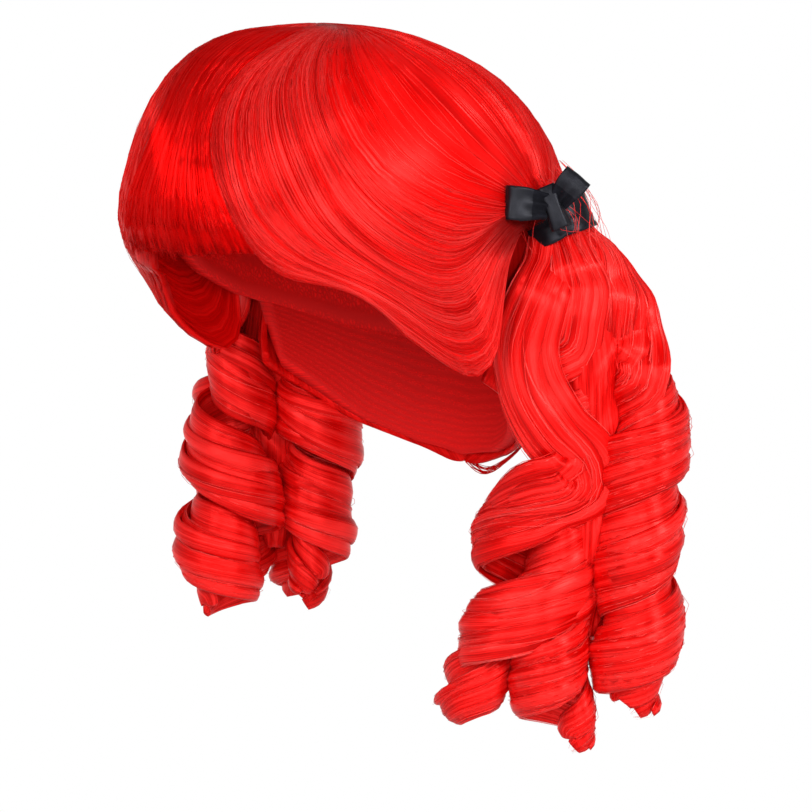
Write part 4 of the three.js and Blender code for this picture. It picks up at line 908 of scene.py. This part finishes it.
def loop_piece(name, loop, side, seed):
    """One loop of the bow: ribbon that leaves the knot, turns and comes back, pinched at the knot."""
    way = unit(BOW_SIDE * loop["out"] + BOW_UP * loop["rise"] + BOW_FACE * loop["lift"])
    across = unit(np.cross(BOW_FACE, way))
    face = unit(np.cross(way, across))
    s, l, d = KNOT["across"] / 2 - 1.5, KNOT["across"] / 2 + loop["length"], loop["deep"] / 2 - 0.5
    path = np.vstack([
        bezier((s, -d * 0.3), (s + 7, -d * 0.9), (l - 6, -d * 1.25), (l - 1.6, -d * 0.78), 40),
        bezier((l - 1.6, -d * 0.78), (l + 0.2, -d * 0.45), (l + 0.2, d * 0.45), (l - 1.6, d * 0.78), 24)[1:],
        bezier((l - 1.6, d * 0.78), (l - 6, d * 1.25), (s + 7, d * 0.9), (s, d * 0.3), 40)[1:],
    ])
    path = evenly(path, 72)
    length = np.linalg.norm(np.diff(path, axis=0), axis=1).sum()
    t = normalised(np.gradient(path, axis=0))
    normal = np.stack([t[:, 1], -t[:, 0]], 1)
    share = np.linspace(0, 1, 72)
    pinch = 1 - 0.22 * (smooth(0.30, 0.0, share) + smooth(0.70, 1.0, share))
    x = np.linspace(-1, 1, 15)
    folds = (np.cos(x[None] * 7.5 + 0.6) * 0.75 * (smooth(0.34, 0.02, share) + smooth(0.66, 0.98, share))[:, None]
             + 0.35 * noise(x[None] * 1.3, share[:, None] * 4, seed))
    across_at = x[None] * pinch[:, None] * loop["width"] / 2
    def grid(offset):
        q = path[:, None] + normal[:, None] * (folds + offset)[..., None]
        return KNOT_AT + q[..., :1] * way + q[..., 1:] * face + across_at[..., None] * across
    piece = Piece(name)
    piece.add(*slab(grid(CLOTH / 2).transpose(1, 0, 2), grid(-CLOTH / 2).transpose(1, 0, 2)))
    row = np.arange(14 * 71) % 71 / 71.0
    piece.quad_mat[-1][: 2 * 14 * 71] = np.tile(np.abs(row - 0.5) > 0.31, 2)  # painted shade: the gathered ends get the duller satin, standing in for the knot's shade
    return piece.make([RIBBON, RIBBON_PAINTED_SHADE], side), (loop["width"] * MM, length * MM)


def knot_piece(name, side, seed):
    """The crossing strip that holds the bow: a soft sleeve with folds down it."""
    around, rows = 48, 24
    turn = np.linspace(0, 2 * math.pi, around, endpoint=False)[None]
    share = np.linspace(0, 1, rows)[:, None]
    waist = 1 - 0.16 * np.sin(np.pi * share) ** 2 + 0.05 * noise(share * 3, 0, seed)
    fold = 1 + 0.07 * np.cos(turn * 5 + 1.1 * share * 3 + noise(share * 2, 0, seed + 1)) + 0.03 * noise(turn * 3, share * 4, seed + 2)
    bend = 1.2 * np.sin(np.pi * share)
    def skin(shrink):
        a = (KNOT["across"] / 2 * waist * fold - shrink) * np.cos(turn)
        d = (KNOT["deep"] / 2 * waist * fold - shrink) * np.sin(turn) + bend - 0.6
        return KNOT_AT + a[..., None] * BOW_SIDE + d[..., None] * BOW_FACE + ((share - 0.5) * KNOT["along"] + 0 * a)[..., None] * BOW_UP
    outer, inner = skin(0.0), skin(CLOTH)
    rows_in = np.concatenate([outer, inner[::-1]], 0)
    verts, quads, tris = pipe(rows_in, closed=True)
    v = np.concatenate([np.linspace(0, 1, rows), np.linspace(1, 0, rows)])
    uv = np.stack(np.broadcast_arrays(np.abs(turn / math.pi - 1), v[:, None]), -1).reshape(-1, 2)
    piece = Piece(name)
    piece.add(verts, quads, tris, uv)
    return piece.make([RIBBON], side), (KNOT["along"] * MM, math.pi * (KNOT["across"] + KNOT["deep"]) / 2 * 0.95 * MM)


# ------------------------------------------------------------------ the wig
def settle(obj, slot, *nodes):
    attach(obj, "root")
    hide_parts(*nodes)
    return obj


settle(crown_piece(), "hair", "crown")
settle(fringe_piece(), "hair", "fringe")
settle(nape_piece(), "hair", "nape_hair")
for side_name, side in (("left", 1), ("right", -1)):
    seed = 200 if side > 0 else 500
    settle(sweep_piece("side_sweep_hair_" + side_name, side, seed), "hair", "side_sweep_" + side_name)
    settle(bundle_piece("gather_hair_" + side_name, side, seed + 20), "hair", "gather_" + side_name)
    for k, lock in enumerate(RINGLETS[side_name]):
        near = side > 0
        name = "ringlet_%s_%d" % (side_name, k + 1)
        settle(ringlet_piece("ringlet_hair_%s_%d" % (side_name, k + 1), lock, side, seed + 40 + 20 * k, (92 if k < 3 else 24) if near else 20, near), "hair", name)
    band, flat = band_piece("ribbon_wrap_" + side_name, side, seed + 150)
    settle(band, "ribbon", "ribbon_band_" + side_name)
    knot, flat = knot_piece("ribbon_knot_" + side_name, side, seed + 160)
    settle(knot, "ribbon", "bow_knot_" + side_name)
    for loop_name, loop in BOW_LOOPS.items():
        made, flat = loop_piece("ribbon_loop_%s_%s" % (loop_name, side_name), loop, side, seed + 170 + len(loop_name))
        settle(made, "ribbon", "bow_loop_%s_%s" % (loop_name, side_name))

# ------------------------------------------------------------------ floor, light and camera
mesh = bpy.data.meshes.new("floor")
rim = [(0.95 * math.cos(a), 0.95 * math.sin(a), -0.62) for a in np.linspace(0, 2 * math.pi, 96, endpoint=False)]
mesh.from_pydata(rim, [], [list(range(96))])
floor = bpy.data.objects.new("floor", mesh)
bpy.context.scene.collection.objects.link(floor)
pale, tree = new_material("pale_floor")
surface = node(tree, "ShaderNodeBsdfPrincipled", {"Base Color": (0.93, 0.93, 0.93, 1), "Roughness": 0.9, "Specular IOR Level": 0.1})
node(tree, "ShaderNodeOutputMaterial", {"Surface": surface.outputs["BSDF"]})
mesh.materials.append(pale)

AZIMUTH, ELEVATION, DISTANCE, PER_PIXEL = math.radians(45), math.radians(7), 1500.0, 0.468
RIGHT = np.array((math.cos(AZIMUTH), math.sin(AZIMUTH), 0))
TOWARD = np.array((math.sin(AZIMUTH) * math.cos(ELEVATION), -math.cos(AZIMUTH) * math.cos(ELEVATION), math.sin(ELEVATION)))
UP = np.cross(TOWARD, RIGHT)
TARGET = RIGHT * (406 - 347) * PER_PIXEL - UP * (406 - 58) * PER_PIXEL


def area_light(name, across, up, back, size, power, colour=(1, 1, 1)):
    """A softbox, placed from the target by metres to the camera's right, up, and towards the camera."""
    data = bpy.data.lights.new(name, "AREA")
    data.shape, data.size, data.energy, data.color = "SQUARE", size, power, colour
    lamp = bpy.data.objects.new(name, data)
    bpy.context.scene.collection.objects.link(lamp)
    at = Vector(TARGET * MM + RIGHT * across + np.array((0, 0, 1.0)) * up + TOWARD * back)
    lamp.location = at
    lamp.rotation_mode = "QUATERNION"
    lamp.rotation_quaternion = (at - Vector(TARGET * MM)).to_track_quat("Z", "Y")
    return lamp


area_light("softbox_left", -0.60, 0.40, 0.95, 0.30, 6)
area_light("softbox_right", 0.80, 0.40, 0.85, 0.30, 11)
area_light("softbox_front", 0.1, 0.10, 1.4, 0.4, 6)

world = bpy.data.worlds.new("studio")
world.use_nodes = True
tree = world.node_tree
background = tree.nodes["Background"]
height = node(tree, "ShaderNodeSeparateXYZ", {"Vector": node(tree, "ShaderNodeTexCoord").outputs["Generated"]}).outputs["Z"]
level = node(tree, "ShaderNodeMath", {0: height, 1: 0.5, 2: 0.5}, operation="MULTIPLY_ADD").outputs[0]
tone = lambda z, k: (z * 0.5 + 0.5, (k, k, k))
tree.links.new(ramp(tree, level, [tone(-1.0, 0.43), tone(-0.36, 0.54), tone(-0.27, 1.0), tone(0.03, 1.0), tone(0.12, 0.42), tone(1.0, 0.20)]), background.inputs["Color"])
background.inputs["Strength"].default_value = 1.0
bpy.context.scene.world = world

camera = bpy.data.cameras.new("camera")
camera.sensor_width, camera.lens = 36.0, 3205 / 812 * 36.0
camera.clip_start, camera.clip_end = 0.05, 200
cam = bpy.data.objects.new("camera", camera)
bpy.context.scene.collection.objects.link(cam)
cam.location = Vector((TARGET + TOWARD * DISTANCE) * MM)
cam.rotation_mode = "QUATERNION"
cam.rotation_quaternion = Vector(TOWARD).to_track_quat("Z", "Y")
bpy.context.scene.camera = cam
bpy.context.scene.view_settings.view_transform = "Standard"
